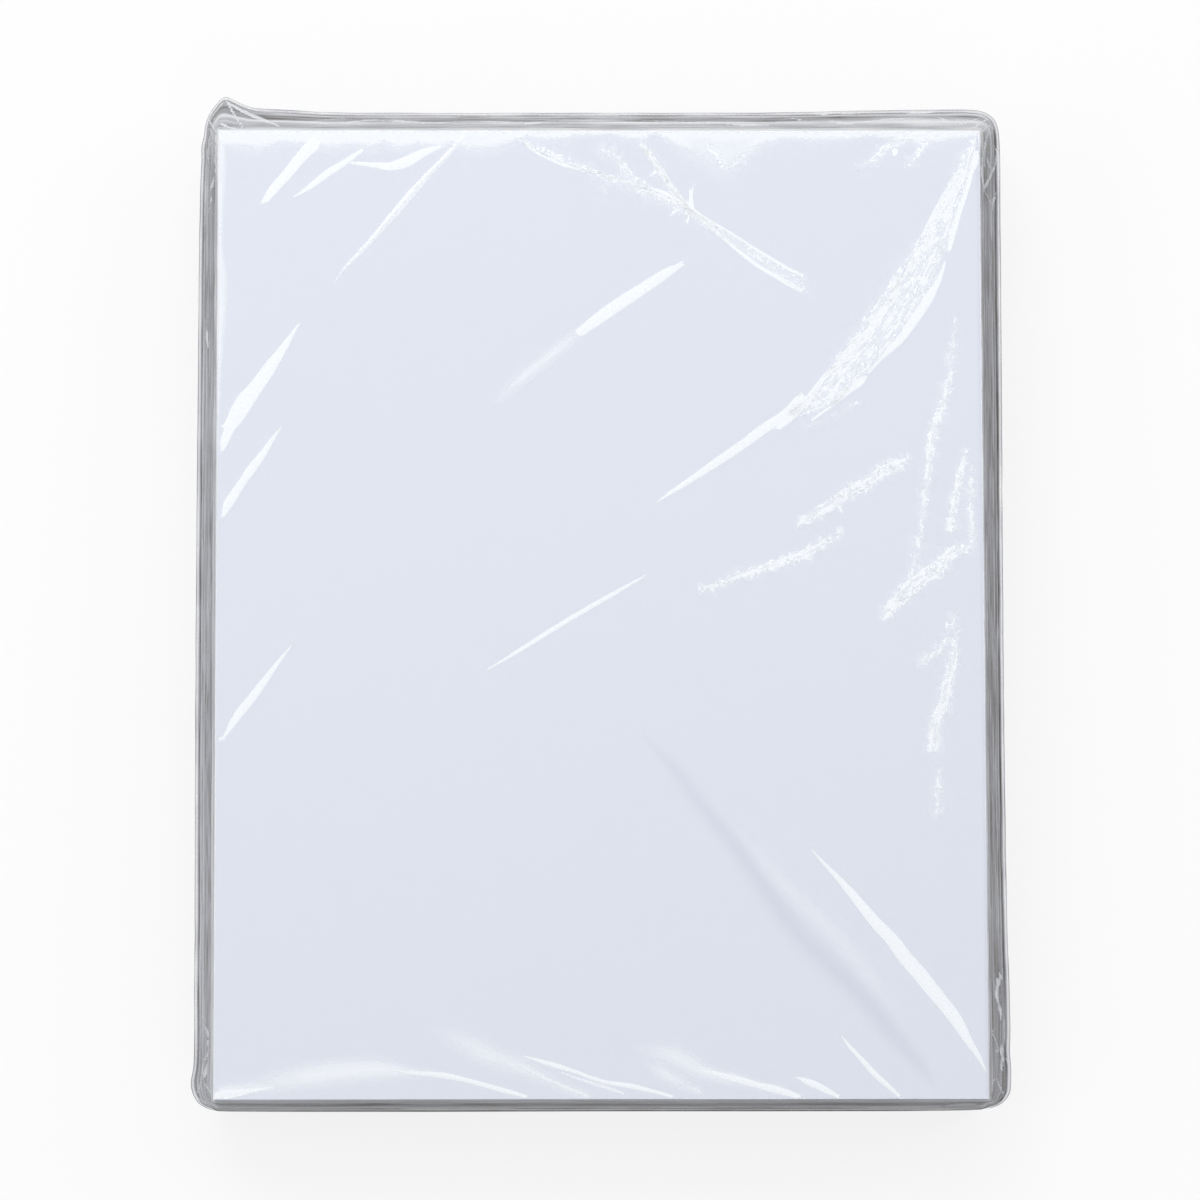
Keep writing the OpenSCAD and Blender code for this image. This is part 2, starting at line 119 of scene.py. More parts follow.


# Folds in the film over the top sheet, with highlights and shade painted along them
TOP_CREASES = (
    Crease(Fold.PULLED, 0.95, 0.9, ((-104.7, 173.2, 2.38), (-109.8, 167.6, 1.83),
        (-114.6, 161.6, 1.65), (-120, 155.3, 1.37), (-122.9, 151.5, 0.73),
        (-123.9, 150.8, 0.18))),
    Crease(Fold.PULLED, 0.9, 0.6, ((-87.1, 170.6, 0.55), (-93.3, 166.1, 0.91),
        (-100.6, 161.3, 1.1), (-106.8, 156.4, 0.73), (-112, 153, 0.18))),
    Crease(Fold.PULLED, 0.95, 0.7, ((-58.1, 172, 0.37), (-64, 169.9, 1.28),
        (-71.3, 166.1, 1.83), (-76.1, 164.6, 1.46), (-82.3, 165, 0.91), (-90.7, 165.8, 0.37))),
    Crease(Fold.PULLED, 0.55, 0.7, ((-48.9, 176.3, 1.1), (-56.6, 167.7, 0.91),
        (-65.8, 157.9, 1.28), (-73.9, 148.2, 1.46), (-79.3, 141.9, 1.1), (-83.4, 137, 0.91),
        (-89.6, 130.3, 0.73), (-93.2, 126.6, 0.46), (-96.1, 122.5, 0.18))),
    Crease(Fold.PULLED, 1, 1, ((-110, 105.8, 0.18), (-112.2, 102.4, 0.55), (-114.7, 98.4, 1.1),
        (-118, 93.5, 1.65), (-122, 87.6, 2.19), (-125.9, 82, 2.38), (-129.6, 77.2, 2.93),
        (-132.8, 71.7, 2.74), (-135.4, 66.5, 1.65), (-137.2, 61.7, 1.28),
        (-137.7, 59.1, 0.55))),
    Crease(Fold.PULLED, 1, 0.6, ((-137.2, 67.6, 0.55), (-134.3, 70.6, 1.46),
        (-131.4, 73.2, 1.1))),
    Crease(Fold.PULLED, 0.9, 0.8, ((-116.4, 67.6, 0.18), (-119.7, 62.8, 0.73),
        (-123.3, 57.3, 1.1), (-126.9, 52.5, 1.46), (-130.2, 47.7, 1.28), (-133.1, 43.2, 1.46),
        (-135.6, 39.2, 1.46), (-137.4, 34.8, 0.55))),
    Crease(Fold.PULLED, 0.85, 0.8, ((29.6, 127.8, 0.7), (25, 125.2, 1.5), (16.6, 119.6, 1.9),
        (7.4, 113.6, 2.1), (0.1, 108.4, 2), (-7.3, 102.8, 1.5))),
    Crease(Fold.SWELL, 0.45, 0, ((0.1, 108.4, 1.65), (-9.1, 101.7, 2.19),
        (-18.2, 94.3, 2.19), (-27.4, 86.9, 2.19), (-34.7, 80.2, 2.19), (-42, 73.2, 1.46))),
    Crease(Fold.PULLED, 0.85, 0.5, ((15.5, 12.3, 0.18), (7.1, 7.5, 0.55), (-3.8, 1.3, 0.73),
        (-16.6, -6.4, 0.73), (-29.3, -14.5, 0.55), (-41.3, -21.8, 0.18))),
    Crease(Fold.PULLED, 0.95, 0.7, ((-112.5, -13, 0.17), (-116.5, -18.1, 0.52),
        (-121.9, -25.5, 1.04), (-127.3, -32.8, 1.39), (-130.9, -37.2, 1.39),
        (-133.8, -41.5, 1.04), (-136.6, -46.3, 0.35))),
    Crease(Fold.PULLED, 0.95, 0.9, ((73.1, 77.3, 2.19), (68.3, 72.8, 1.65), (60.2, 67.3, 1.65),
        (51.1, 60.6, 1.46), (41.9, 54.3, 1.28), (32.7, 48, 0.91), (25.4, 43.2, 0.55),
        (20.7, 39.9, 0.18))),
    Crease(Fold.PULLED, 0.95, 1, ((76.7, -88, 0.18), (79.9, -91.7, 0.46), (86.4, -98.6, 0.91),
        (92.9, -106.2, 1.46), (99, -113.8, 1.83), (105.4, -120.7, 2.19), (109.7, -126.6, 2.38),
        (114.4, -132, 2.38), (118.7, -137.4, 2.38), (123.7, -143.6, 2.19),
        (128.3, -149.8, 2.01), (132.2, -156.6, 1.28), (135.8, -162.4, 0.73),
        (138.6, -167.8, 0.18))),
    Crease(Fold.PULLED, 0.9, 0.7, ((86.4, -155.1, 0.18), (89.6, -159.1, 0.55),
        (93.9, -163.8, 0.73), (98.5, -168.9, 0.91), (103.2, -173.2, 0.73),
        (107.1, -176.8, 0.37))),
    Crease(Fold.PULLED, 1, 0.6, ((-140, -176.6, 0.91), (-135.7, -175.9, 1.46),
        (-130.3, -175.2, 1.1), (-124.9, -174.3, 0.55), (-118.8, -173.6, 0.18))),
    Crease(Fold.PULLED, 0.9, 0.7, ((-74.5, -167.5, 0.18), (-68, -168.3, 0.55),
        (-61.9, -168.6, 0.73), (-55.4, -169.4, 0.91), (-49.3, -170.8, 0.73), (-41, -173, 0.73),
        (-33.1, -175.2, 0.73), (-27.3, -176.8, 0.37))),
    Crease(Fold.SWELL, 0.62, 0, ((-136.8, -174.3, 1.68), (-123.1, -172.2, 3.37),
        (-108.7, -169.7, 4.21), (-92.5, -167.5, 4.21), (-79.9, -166.8, 3.78),
        (-69.1, -167.9, 2.1), (-58, -168.8, 1.5), (-46, -171.2, 1.1))),
    Crease(Fold.SWELL, 0.42, 0, ((-65.2, -149.5, 1.38), (-55.4, -154.6, 3.66),
        (-45.7, -159.3, 4.11), (-36, -163.6, 3.66), (-26.6, -167.2, 2.97), (-15.8, -172.3, 2.29),
        (-5.4, -176.6, 1.38))),
    Crease(Fold.PULLED, 0.6, 0.5, ((-29.5, -165.8, 0.18), (-22.3, -169.4, 0.46),
        (-13.3, -173.4, 0.55), (-5, -176.8, 0.37))),
    Crease(Fold.PULLED, 0.9, 0.6, ((-28.4, -162.2, 0.19), (-22.3, -164, 0.56),
        (-16.9, -165.6, 0.75), (-9.3, -168, 0.56), (-0.7, -171.1, 0.56), (11.9, -173.4, 0.75),
        (19.1, -175.2, 0.56), (25.3, -176.9, 0.37))),
    Crease(Fold.PULLED, 0.6, 0.4, ((-15.1, -168, 0.18), (-6.1, -171.2, 0.46),
        (1.1, -173.4, 0.55), (8, -175.9, 0.37))),
    Crease(Fold.SWELL, 0.5, 0, ((7.3, -158.3, 1.36), (17.4, -160.4, 3.29), (28.2, -163.3, 3.84),
        (36.8, -167.7, 2.75), (45, -170, 2.4), (55, -172.2, 2), (66, -175, 1.4))),
    Crease(Fold.SWELL, 0.42, 0, ((13.8, -164.4, 1.18), (21, -167.7, 2.38), (28.2, -171.6, 2.38),
        (35, -174.9, 1.43))),
    Crease(Fold.PULLED, 0.95, 0.6, ((35.4, -167.3, 0.22), (42.6, -169, 0.69),
        (50.5, -171.1, 1.02), (56.3, -172.8, 0.91), (62.1, -174.2, 1.14), (70.7, -176.9, 0.69))),
    Crease(Fold.PULLED, 1, 0.6, ((70.7, -170.1, 0.22), (73.6, -171.4, 0.88), (77.2, -172.8, 1.09),
        (81.5, -175, 0.88), (85.3, -177, 0.44))),
    Crease(Fold.CRUMPLED, 0.68, 0.7, ((-30.2, 175.5, 0.73), (-23.6, 171.8, 1.28),
        (-14.5, 167.7, 1.46), (-5.3, 163.6, 1.46), (2, 160.6, 1.46), (11.2, 156.9, 1.46),
        (20.4, 153.5, 1.65), (27.7, 149.8, 1.83), (31.7, 147.9, 1.46))),
    Crease(Fold.CRUMPLED, 0.72, 0.8, ((14.9, 174.1, 1.1), (18.6, 168.8, 1.28),
        (22.2, 163.2, 1.46), (25.9, 157.2, 1.46), (29.5, 152, 1.65), (32.1, 147.5, 1.46))),
    Crease(Fold.PULLED, 0.8, 0.5, ((34.3, 156.5, 0.18), (33.6, 152.8, 0.55),
        (32.4, 147.5, 0.91))),
    Crease(Fold.CRUMPLED, 0.6, 0.8, ((32.1, 147.9, 1.46), (40.5, 142.3, 1.65),
        (49.6, 136.4, 1.65), (58.8, 130.4, 1.65), (67.9, 124.1, 1.83), (73.4, 120.3, 2.01),
        (76.3, 117.4, 0.55))),
    Crease(Fold.CRUMPLED, 0.8, 0.7, ((46.8, 164, 0.73), (50.9, 166.6, 1.28),
        (57.2, 171.1, 0.73))),
    Crease(Fold.CRUMPLED, 0.9, 0.5, ((39.9, 172.2, 1.46), (42.8, 168.8, 1.65),
        (46.8, 164, 0.55))),
    Crease(Fold.CRUMPLED, 0.85, 0.6, ((119.7, 177.9, 1.1), (113.4, 175.6, 1.65),
        (106.8, 172.3, 1.65), (100.5, 167.4, 0.91), (94.6, 164, 0.37))),
    Crease(Fold.CRUMPLED, 0.85, 0.6, ((123.7, 176.8, 1.1), (120, 173.4, 1.46),
        (117.1, 169.7, 1.1), (113.7, 164.8, 0.37))),
    Crease(Fold.CRUMPLED, 0.7, 0.8, ((1.3, 170.7, 0.91), (5.7, 168.4, 1.65), (9.4, 164, 1.46),
        (12.3, 160.2, 1.1))),
    Crease(Fold.CRUMPLED, 0.6, 0.7, ((0.2, 155.7, 0.55), (8.3, 161.3, 1.46),
        (18.5, 155.7, 1.65))),
    Crease(Fold.CRUMPLED, 0.82, 1.1, ((138.4, 175.7, 0.55), (135.4, 168.9, 1.83),
        (132.8, 161.4, 2.74), (129, 152.1, 3.29), (124.9, 141.6, 4.39), (121.1, 134.2, 5.48),
        (115.9, 124.1, 6.58), (110, 114.8, 6.95), (103.3, 105.1, 6.76), (96.6, 96.2, 6.4),
        (89.6, 87.7, 5.85), (82.2, 79.1, 4.39), (74.9, 74.7, 2.56), (69.4, 73.2, 1.65))),
    Crease(Fold.CRUMPLED, 1.4, 0.7, ((112.4, 56.5, 0.46), (106.9, 53.2, 1.62),
        (100.3, 49.1, 2.08), (92.9, 44.7, 2.08), (85.6, 39.9, 2.08), (78.3, 35.1, 1.84),
        (71.7, 31.4, 0.69))),
    Crease(Fold.CRUMPLED, 1.35, 0.6, ((86.6, 28.5, 0.48), (80, 24.1, 1.45), (72.7, 20, 1.68),
        (65.4, 17.4, 1.68), (57, 14.9, 1.2), (49, 12.3, 0.96), (41.7, 9.3, 0.72),
        (36.2, 7.5, 0.36))),
    Crease(Fold.CRUMPLED, 1.15, 0.9, ((135.1, 23.7, 1), (131.1, 22.6, 2.01), (123.7, 17, 2.62),
        (116.7, 11.2, 2.82), (110.9, 6.7, 3.01), (106.5, 1.6, 2.41), (103.5, -2.1, 1.41),
        (101.7, -3.9, 0.41))),
    Crease(Fold.GLINTS, 0.88, 0.4, ((130.4, 108.1, 0.19), (128.5, 92.5, 0.95),
        (126.9, 81.4, 1.13), (124.2, 73.2, 1.51), (121.6, 65.8, 1.71), (120, 51.7, 1.32),
        (118.1, 40.6, 1.13), (115.8, 24, 1.13), (112.7, 11.2, 0.95))),
    Crease(Fold.GLINTS, 1, 0.4, ((134.4, 59.9, 0.39), (131.3, 49.9, 1.32), (129.4, 40.6, 1.51),
        (127.5, 29.6, 1.32))),
    Crease(Fold.GLINTS, 0.88, 0.4, ((135.4, 51.7, 0.22), (134.9, 40.6, 1.32),
        (135.1, 25.9, 0.88))),
    Crease(Fold.GLINTS, 0.9, 0.3, ((129.4, -0.6, 0.22), (125.3, -10.9, 0.88),
        (119.8, -17.1, 1.09), (116.5, -20.4, 0.44))),
    Crease(Fold.GLINTS, 1.1, 0.4, ((129.3, -8.7, 0.66), (127.7, -20.1, 1.75),
        (124.7, -32.9, 1.98), (121.4, -42.1, 1.98), (119.8, -51.9, 1.09))),
    Crease(Fold.GLINTS, 0.8, 0.3, ((122.7, -58.5, 1.09), (122.2, -65.8, 1.32),
        (122.1, -73.8, 0.88))),
    Crease(Fold.GLINTS, 0.5, 0.3, ((75.2, 67.3, 0.37), (84, 71.3, 1.1), (93.9, 76.2, 0.91))),
    Crease(Fold.PULLED, 0.95, 0.5, ((138, 170, 0.55), (136.1, 161.4, 0.91), (133.8, 152.8, 0.73),
        (131.5, 146.5, 0.91), (129.6, 140.1, 1.1), (128.1, 133.4, 0.55))),
    Crease(Fold.PULLED, 0.9, 0.6, ((126.6, 128.9, 0.33), (124, 121.8, 0.88), (121.3, 117, 1.43),
        (118, 111.8, 1.64), (113.9, 105.8, 1.54), (110.2, 100.6, 1.31), (105.8, 96.2, 0.98),
        (101.7, 92.1, 0.66), (98, 87.6, 0.44))),
    Crease(Fold.PULLED, 0.9, 0.4, ((96.9, 86.2, 0.73), (95.1, 84.7, 1.46), (92.1, 82.1, 1.1),
        (87, 77.3, 0.37), (82.6, 73.9, 0.37), (77.4, 70.2, 0.37))),
    Crease(Fold.PULLED, 0.8, 0.7, ((141.3, 171.5, 1.17), (135.4, 163.3, 2.05),
        (130.5, 156.5, 2.63), (126.4, 149.8, 2.63), (122.7, 143.1, 2.49), (119.3, 136.4, 2.05),
        (115.6, 130.4, 1.46), (112.3, 125.2, 0.88), (109.6, 120.7, 0.44))),
    Crease(Fold.PULLED, 0.95, 0.5, ((109.6, 120.7, 0.55), (106.3, 114.8, 1.1),
        (102.6, 109.6, 1.46), (98.1, 102.9, 1.28), (93.7, 97.7, 1.64), (90, 93.9, 1.83),
        (86.3, 90.2, 1.1), (81.9, 85.8, 0.91), (77.5, 79.8, 1.1), (73.1, 74.7, 1.28),
        (69.4, 71, 1.1), (65, 67.2, 0.73))),
    Crease(Fold.PULLED, 0.9, 0.4, ((-0.5, 162.4, 0.3), (4.6, 160.2, 0.44), (9.7, 158.7, 0.44),
        (16.7, 156.8, 0.44), (22.9, 155, 0.58), (28.1, 152, 0.73), (32.5, 149, 0.73),
        (36.8, 144.9, 0.44), (42, 140.8, 0.58), (47.8, 135.6, 0.44), (53.3, 131.1, 0.58),
        (58.7, 127, 0.58), (64.6, 123.7, 0.73), (69.7, 120.7, 0.88), (74.4, 118.1, 0.58))),
    Crease(Fold.PULLED, 0.95, 0.4, ((15.7, 172.2, 0.47), (18.6, 168.4, 0.62), (21.1, 164.7, 0.62),
        (24.4, 160.6, 0.47), (27, 156.5, 0.62), (30.3, 152.4, 0.62), (33.2, 149, 0.77),
        (39.8, 144.5, 0.47), (47.1, 140.1, 0.47), (53.7, 136, 0.31), (59.9, 131.9, 0.47),
        (65, 128.9, 0.47), (69.4, 126.3, 0.47), (74.1, 124.1, 0.31))),
    Crease(Fold.PULLED, 0.9, 0.3, ((33.2, 155.7, 0.3), (33.6, 152, 0.58), (33.9, 147.5, 0.58),
        (32.4, 144.5, 0.3))),
    Crease(Fold.PULLED, 0.9, 0.4, ((-28.4, 174.4, 0.44), (-24, 170.6, 0.58), (-18.9, 167.7, 0.44),
        (-13.7, 165.4, 0.58), (-7.9, 163.6, 0.44), (-2.7, 162.1, 0.3))),
    Crease(Fold.VALLEY, 0.5, -0.4, ((15.3, -45.6, 0.73), (26.8, -58.4, 2.56),
        (38.4, -73.8, 3.29), (48.5, -86.2, 3.66), (57.8, -99.3, 4.02), (72.2, -118.9, 4.39),
        (84.4, -130.9, 4.39), (96.2, -143.2, 4.39), (105.9, -155.1, 4.02),
        (115.2, -166.4, 2.56), (120.1, -173.2, 0.91))),
    Crease(Fold.SWELL, 0.22, 0, ((43.1, -71.6, 0.73), (53.9, -85.8, 2.93),
        (68.3, -102.2, 3.29), (86.6, -120.7, 3.29), (97, -133.4, 3.29), (105.9, -145, 2.93),
        (114.9, -156.6, 1.46))),
)

# Folds in the film beside the sheets, seen from above, with highlights painted along them
SIDE_CREASES = (
    Crease(Fold.PULLED, 1, 0.7, ((-137.8, 193.6, 0.18), (-136.6, 191.7, 0.37),
        (-134.2, 186.3, 0.37), (-132.5, 182.8, 0.37), (-131, 179.7, 0.28))),
    Crease(Fold.PULLED, 1, 0.8, ((-137.8, 193.9, 0.28), (-134.4, 191.2, 0.55),
        (-130.3, 188.8, 0.83), (-126.5, 186.8, 1.1), (-122.9, 184.2, 0.92),
        (-119.6, 182, 0.55), (-117, 180.5, 0.18))),
    Crease(Fold.PULLED, 0.8, 0.5, ((-143.9, 186.9, 0.22), (-142, 188.8, 0.29),
        (-140.3, 191, 0.29), (-138.9, 193.4, 0.22))),
    Crease(Fold.PULLED, 1, 0.7, ((-144.2, 186.8, 0.18), (-142.6, 182.4, 0.4),
        (-141.1, 178.7, 0.4), (-139, 175.1, 0.44))),
    Crease(Fold.PULLED, 0.8, 0.5, ((-143.9, 183, 0.18), (-142.2, 177.3, 0.33),
        (-140.3, 172.4, 0.22))),
    Crease(Fold.PULLED, 0.6, 0.4, ((-144.1, 186.7, 0.18), (-142, 186, 0.37),
        (-139.2, 185.2, 0.18))),
    Crease(Fold.PULLED, 0.95, 0.4, ((-139.9, 181, 0.18), (-139, 181.4, 0.74),
        (-137.5, 180.6, 0.74), (-136, 179.3, 0.37), (-133.4, 178.8, 0.46),
        (-131.9, 178.3, 0.18))),
    Crease(Fold.PULLED, 0.9, 0.5, ((-142.2, 175.2, 0.18), (-143.9, 175.1, 0.33),
        (-144.3, 173.2, 0.37), (-143.8, 170.2, 0.18))),
    Crease(Fold.PULLED, 0.8, 0.5, ((-140.7, 171.2, 0.18), (-141.2, 168.7, 0.33),
        (-140.7, 165.7, 0.37), (-139.9, 162.9, 0.18))),
    Crease(Fold.GLINTS, 0.9, 0.4, ((-139.5, 167.6, 0.37), (-140.1, 164.2, 0.74),
        (-139.8, 159.5, 0.37))),
    Crease(Fold.PULLED, 0.95, 0.5, ((-141.5, 162.5, 0.18), (-142.1, 159.9, 0.44),
        (-142.9, 157.4, 0.37))),
    Crease(Fold.PULLED, 0.8, 0.4, ((-142.3, 155.2, 0.18), (-142.9, 152.5, 0.37),
        (-143.9, 150.1, 0.18))),
    Crease(Fold.PULLED, 0.85, 0.4, ((-145.5, 163.5, 0.18), (-145.1, 158.5, 0.33),
        (-145.2, 151.8, 0.33), (-145.5, 145.9, 0.18))),
    Crease(Fold.PULLED, 0.95, 0.4, ((-144.8, 110.9, 0.18), (-144.3, 106.2, 0.44),
        (-143.9, 102.2, 0.37), (-143.5, 98.6, 0.18))),
    Crease(Fold.PULLED, 0.9, 0.5, ((145.4, 184.7, 0.18), (142.6, 180.5, 0.33),
        (140.2, 176.4, 0.28))),
    Crease(Fold.PULLED, 0.95, 0.6, ((145.4, 184, 0.18), (143.7, 179.5, 0.33),
        (142.6, 175.7, 0.37), (141.9, 171.7, 0.37), (141.9, 166.1, 0.28))),
    Crease(Fold.PULLED, 1, 0.6, ((142.8, 170, 0.18), (143.7, 168, 0.48), (145.1, 166.3, 0.28))),
    Crease(Fold.PULLED, 0.95, 0.6, ((141.1, 171.2, 0.18), (140.7, 165.8, 0.33),
        (140.7, 160.9, 0.37), (141.6, 156.7, 0.37))),
    Crease(Fold.PULLED, 1, 0.6, ((148.1, 172.3, 0.18), (146.2, 167.9, 0.4),
        (143.8, 162.3, 0.44), (141.5, 156.6, 0.37))),
    Crease(Fold.PULLED, 1, 0.5, ((146.4, 176.6, 0.18), (147.9, 175.8, 0.4),
        (147.8, 173.4, 0.4), (146.8, 171.2, 0.18))),
    Crease(Fold.PULLED, 0.8, 0.5, ((147.2, 186.2, 0.18), (145.9, 182.4, 0.29),
        (145.1, 179.9, 0.18))),
    Crease(Fold.PULLED, 0.9, 0.5, ((140.5, 189.3, 0.18), (142.2, 188.4, 0.37),
        (144, 187.2, 0.18))),
    Crease(Fold.PULLED, 0.9, 0.6, ((144.7, 187.3, 0.18), (141.2, 183.9, 0.4),
        (138, 179.6, 0.44))),
    Crease(Fold.PULLED, 0.75, 0.5, ((141.7, 187.2, 0.18), (137.1, 184.2, 0.37),
        (133.4, 181.1, 0.18))),
    Crease(Fold.PULLED, 1, 0.4, ((131.4, 182.7, 0.18), (132.6, 183.6, 0.92),
        (134.3, 182, 0.37))),
    Crease(Fold.PULLED, 0.9, 0.4, ((125.6, 186.7, 0.18), (127.7, 185.8, 0.55),
        (129.7, 184.2, 0.74), (132, 184.8, 0.18))),
    Crease(Fold.PULLED, 1, 0.4, ((113.8, 189.5, 0.18), (117.5, 189.8, 0.55),
        (121.2, 189.9, 0.55), (124.2, 190.2, 0.18))),
    Crease(Fold.PULLED, 0.8, 0.5, ((141.1, 157.4, 0.18), (143.4, 155.2, 0.33),
        (144.7, 152.9, 0.18))),
    Crease(Fold.PULLED, 0.85, 0.5, ((148.3, 161, 0.18), (145.7, 155.4, 0.33),
        (145.4, 151.1, 0.22))),
    Crease(Fold.PULLED, 0.85, 0.5, ((-144.4, -148.9, 0.18), (-142.7, -151.5, 0.44),
        (-142.2, -154.5, 0.28))),
    Crease(Fold.PULLED, 1, 0.4, ((-142.4, -155.4, 0.18), (-142.3, -156.5, 0.55),
        (-142.4, -158.1, 0.18))),
    Crease(Fold.PULLED, 0.95, 0.6, ((-141.4, -157.8, 0.18), (-142.5, -161.3, 0.44),
        (-144, -163.7, 0.37), (-144.4, -167.1, 0.18))),
    Crease(Fold.PULLED, 1, 0.6, ((-142.1, -163.6, 0.18), (-142.9, -166, 0.55),
        (-143.7, -168.2, 0.92), (-144.2, -169.4, 0.28))),
    Crease(Fold.PULLED, 1, 0.6, ((-144.3, -169.6, 0.18), (-145.8, -172.3, 0.4),
        (-147.1, -174.4, 0.18))),
    Crease(Fold.PULLED, 1, 0.6, ((-143.3, -171.1, 0.18), (-141.8, -173.9, 0.4),
        (-140.7, -175.8, 0.28))),
    Crease(Fold.GLINTS, 0.8, 0.4, ((-146.8, -174.7, 0.18), (-145, -176.7, 0.55),
        (-143.2, -178.2, 0.55), (-141, -179, 0.18))),
    Crease(Fold.GLINTS, 1.2, 0.5, ((144.8, -131.9, 0.22), (143.7, -135.8, 0.55),
        (143.2, -139.6, 0.66), (144, -142.6, 0.55), (145.1, -145.7, 0.66),
        (144.6, -148.7, 0.22))),
    Crease(Fold.PULLED, 0.95, 0.5, ((146.5, -128.9, 0.18), (145.9, -132, 0.37),
        (144.3, -135.6, 0.37), (142.9, -139.6, 0.22))),
    Crease(Fold.PULLED, 0.85, 0.5, ((142.6, -151.7, 0.18), (141.6, -153.3, 0.29),
        (142.7, -156, 0.33), (143.8, -158.5, 0.18))),
    Crease(Fold.PULLED, 0.8, 0.4, ((146.6, -145.7, 0.18), (146.8, -150.8, 0.29),
        (146.9, -156.2, 0.18))),
    Crease(Fold.GLINTS, 1, 0.5, ((145.9, -156, 0.37), (145.4, -159, 0.92),
        (145.4, -162.7, 0.92), (145, -166.4, 0.37))),
    Crease(Fold.PULLED, 1, 0.5, ((142.5, -159.5, 0.18), (143.2, -160.4, 0.48),
        (143.8, -159, 0.18))),
    Crease(Fold.PULLED, 1, 0.5, ((147.6, -161.2, 0.18), (148.2, -162.3, 0.48),
        (148.4, -163.6, 0.18))),
    Crease(Fold.PULLED, 0.95, 0.6, ((143, -169.6, 0.18), (141.6, -170.9, 0.37),
        (141.1, -173, 0.33), (140.9, -175.2, 0.18))),
    Crease(Fold.PULLED, 1, 0.6, ((142.8, -169.8, 0.18), (143.9, -171.7, 0.37),
        (145.2, -173.6, 0.37), (146.6, -175.3, 0.18))),
    Crease(Fold.PULLED, 0.9, 0.4, ((141.2, -178.8, 0.18), (143.8, -178.1, 0.37),
        (146.5, -176.9, 0.18))),
    Crease(Fold.PULLED, 0.75, 0.3, ((123.7, -179.5, 0.18), (132, -179.2, 0.29),
        (136.3, -179.1, 0.18))),
    Crease(Fold.PULLED, 0.5, 0.4, ((-109.3, 183.5, 0.2), (-103.1, 185.2, 0.5),
        (-96.8, 186.4, 0.62), (-90.5, 186.2, 0.5), (-85, 185.2, 0.2))),
    Crease(Fold.PULLED, 0.85, 0.5, ((-103.7, 182.1, 0.2), (-96.7, 183.1, 0.56),
        (-90.5, 184.3, 0.62), (-83.4, 185.2, 0.68), (-76.3, 184.5, 0.5), (-68.4, 183.7, 0.56),
        (-60.6, 183.2, 0.74), (-54.3, 183.8, 0.31))),
    Crease(Fold.PULLED, 0.8, 0.5, ((-53.1, 184.4, 0.25), (-44.8, 184.7, 0.56), (-37, 184.3, 0.62),
        (-29.1, 183.8, 0.5))),
    Crease(Fold.PULLED, 0.95, 0.5, ((-29, 184.1, 0.43), (-26.7, 183.1, 0.93),
        (-23.4, 183.1, 0.81), (-18.7, 184.9, 0.2))),
    Crease(Fold.PULLED, 0.65, 0.4, ((-20.6, 185.1, 0.2), (-10.3, 185.4, 0.5), (2.8, 185.3, 0.5),
        (11.2, 185.5, 0.2))),
    Crease(Fold.PULLED, 0.7, 0.4, ((15.9, 185.5, 0.2), (23.4, 185, 0.43), (30.8, 184, 0.5),
        (38.2, 183, 0.43), (43.8, 182.6, 0.2))),
    Crease(Fold.PULLED, 0.9, 0.5, ((43.9, 183.3, 0.2), (49.4, 182.3, 0.68), (55.9, 182, 0.87),
        (62.4, 181.6, 0.25))),
    Crease(Fold.PULLED, 0.7, 0.4, ((69.5, 187.3, 0.2), (73.1, 186.1, 0.5), (79.6, 185.2, 0.2))),
    Crease(Fold.PULLED, 0.9, 0.4, ((80.9, 189.5, 0.2), (83.3, 189.4, 0.62), (86.2, 190, 0.2))),
    Crease(Fold.PULLED, 0.6, 0.4, ((84.6, 188.8, 0.2), (93.1, 189.6, 0.43), (102.6, 190.2, 0.5),
        (112, 190.4, 0.37))),
    Crease(Fold.PULLED, 0.95, 0.5, ((84.7, 184.8, 0.25), (87.9, 183.8, 1.24), (92.4, 182.5, 0.81),
        (96.2, 183.4, 0.25))),
    Crease(Fold.PULLED, 0.7, 0.4, ((96.3, 183.8, 0.2), (102, 184.7, 0.62), (108.7, 185.8, 0.56),
        (114.3, 185.9, 0.2))),
    Crease(Fold.PULLED, 0.6, 0.4, ((-23.4, 188.7, 0.2), (-10.2, 189, 0.37), (4.8, 188.9, 0.37),
        (15.1, 188, 0.2))),
)


def smooth_step(low: float, high: float, value: np.ndarray) -> np.ndarray:
    """Ease a value from 0 at low to 1 at high.

    Args:
        low: where the ramp starts.
        high: where the ramp ends.
        value: the values to ease.

    Returns:
        The eased values.
    """
    t = np.clip((value - low) / (high - low), 0, 1)
    return t * t * (3 - 2 * t)


def wander(place: np.ndarray, pitch: float, seed: int) -> np.ndarray:
    """Give smooth random values along a line.

    Args:
        place: distances along the line.
        pitch: distance between two random values.
        seed: number that fixes the values.

    Returns:
        A value from -1 to 1 at each place.
    """
    rng = np.random.default_rng(seed)
    knots = rng.uniform(-1, 1, int(place.max() / pitch) + 4)
    t = place / pitch
    k = np.floor(t).astype(int)
    return knots[k] + (knots[k + 1] - knots[k]) * smooth_step(0, 1, t - k)


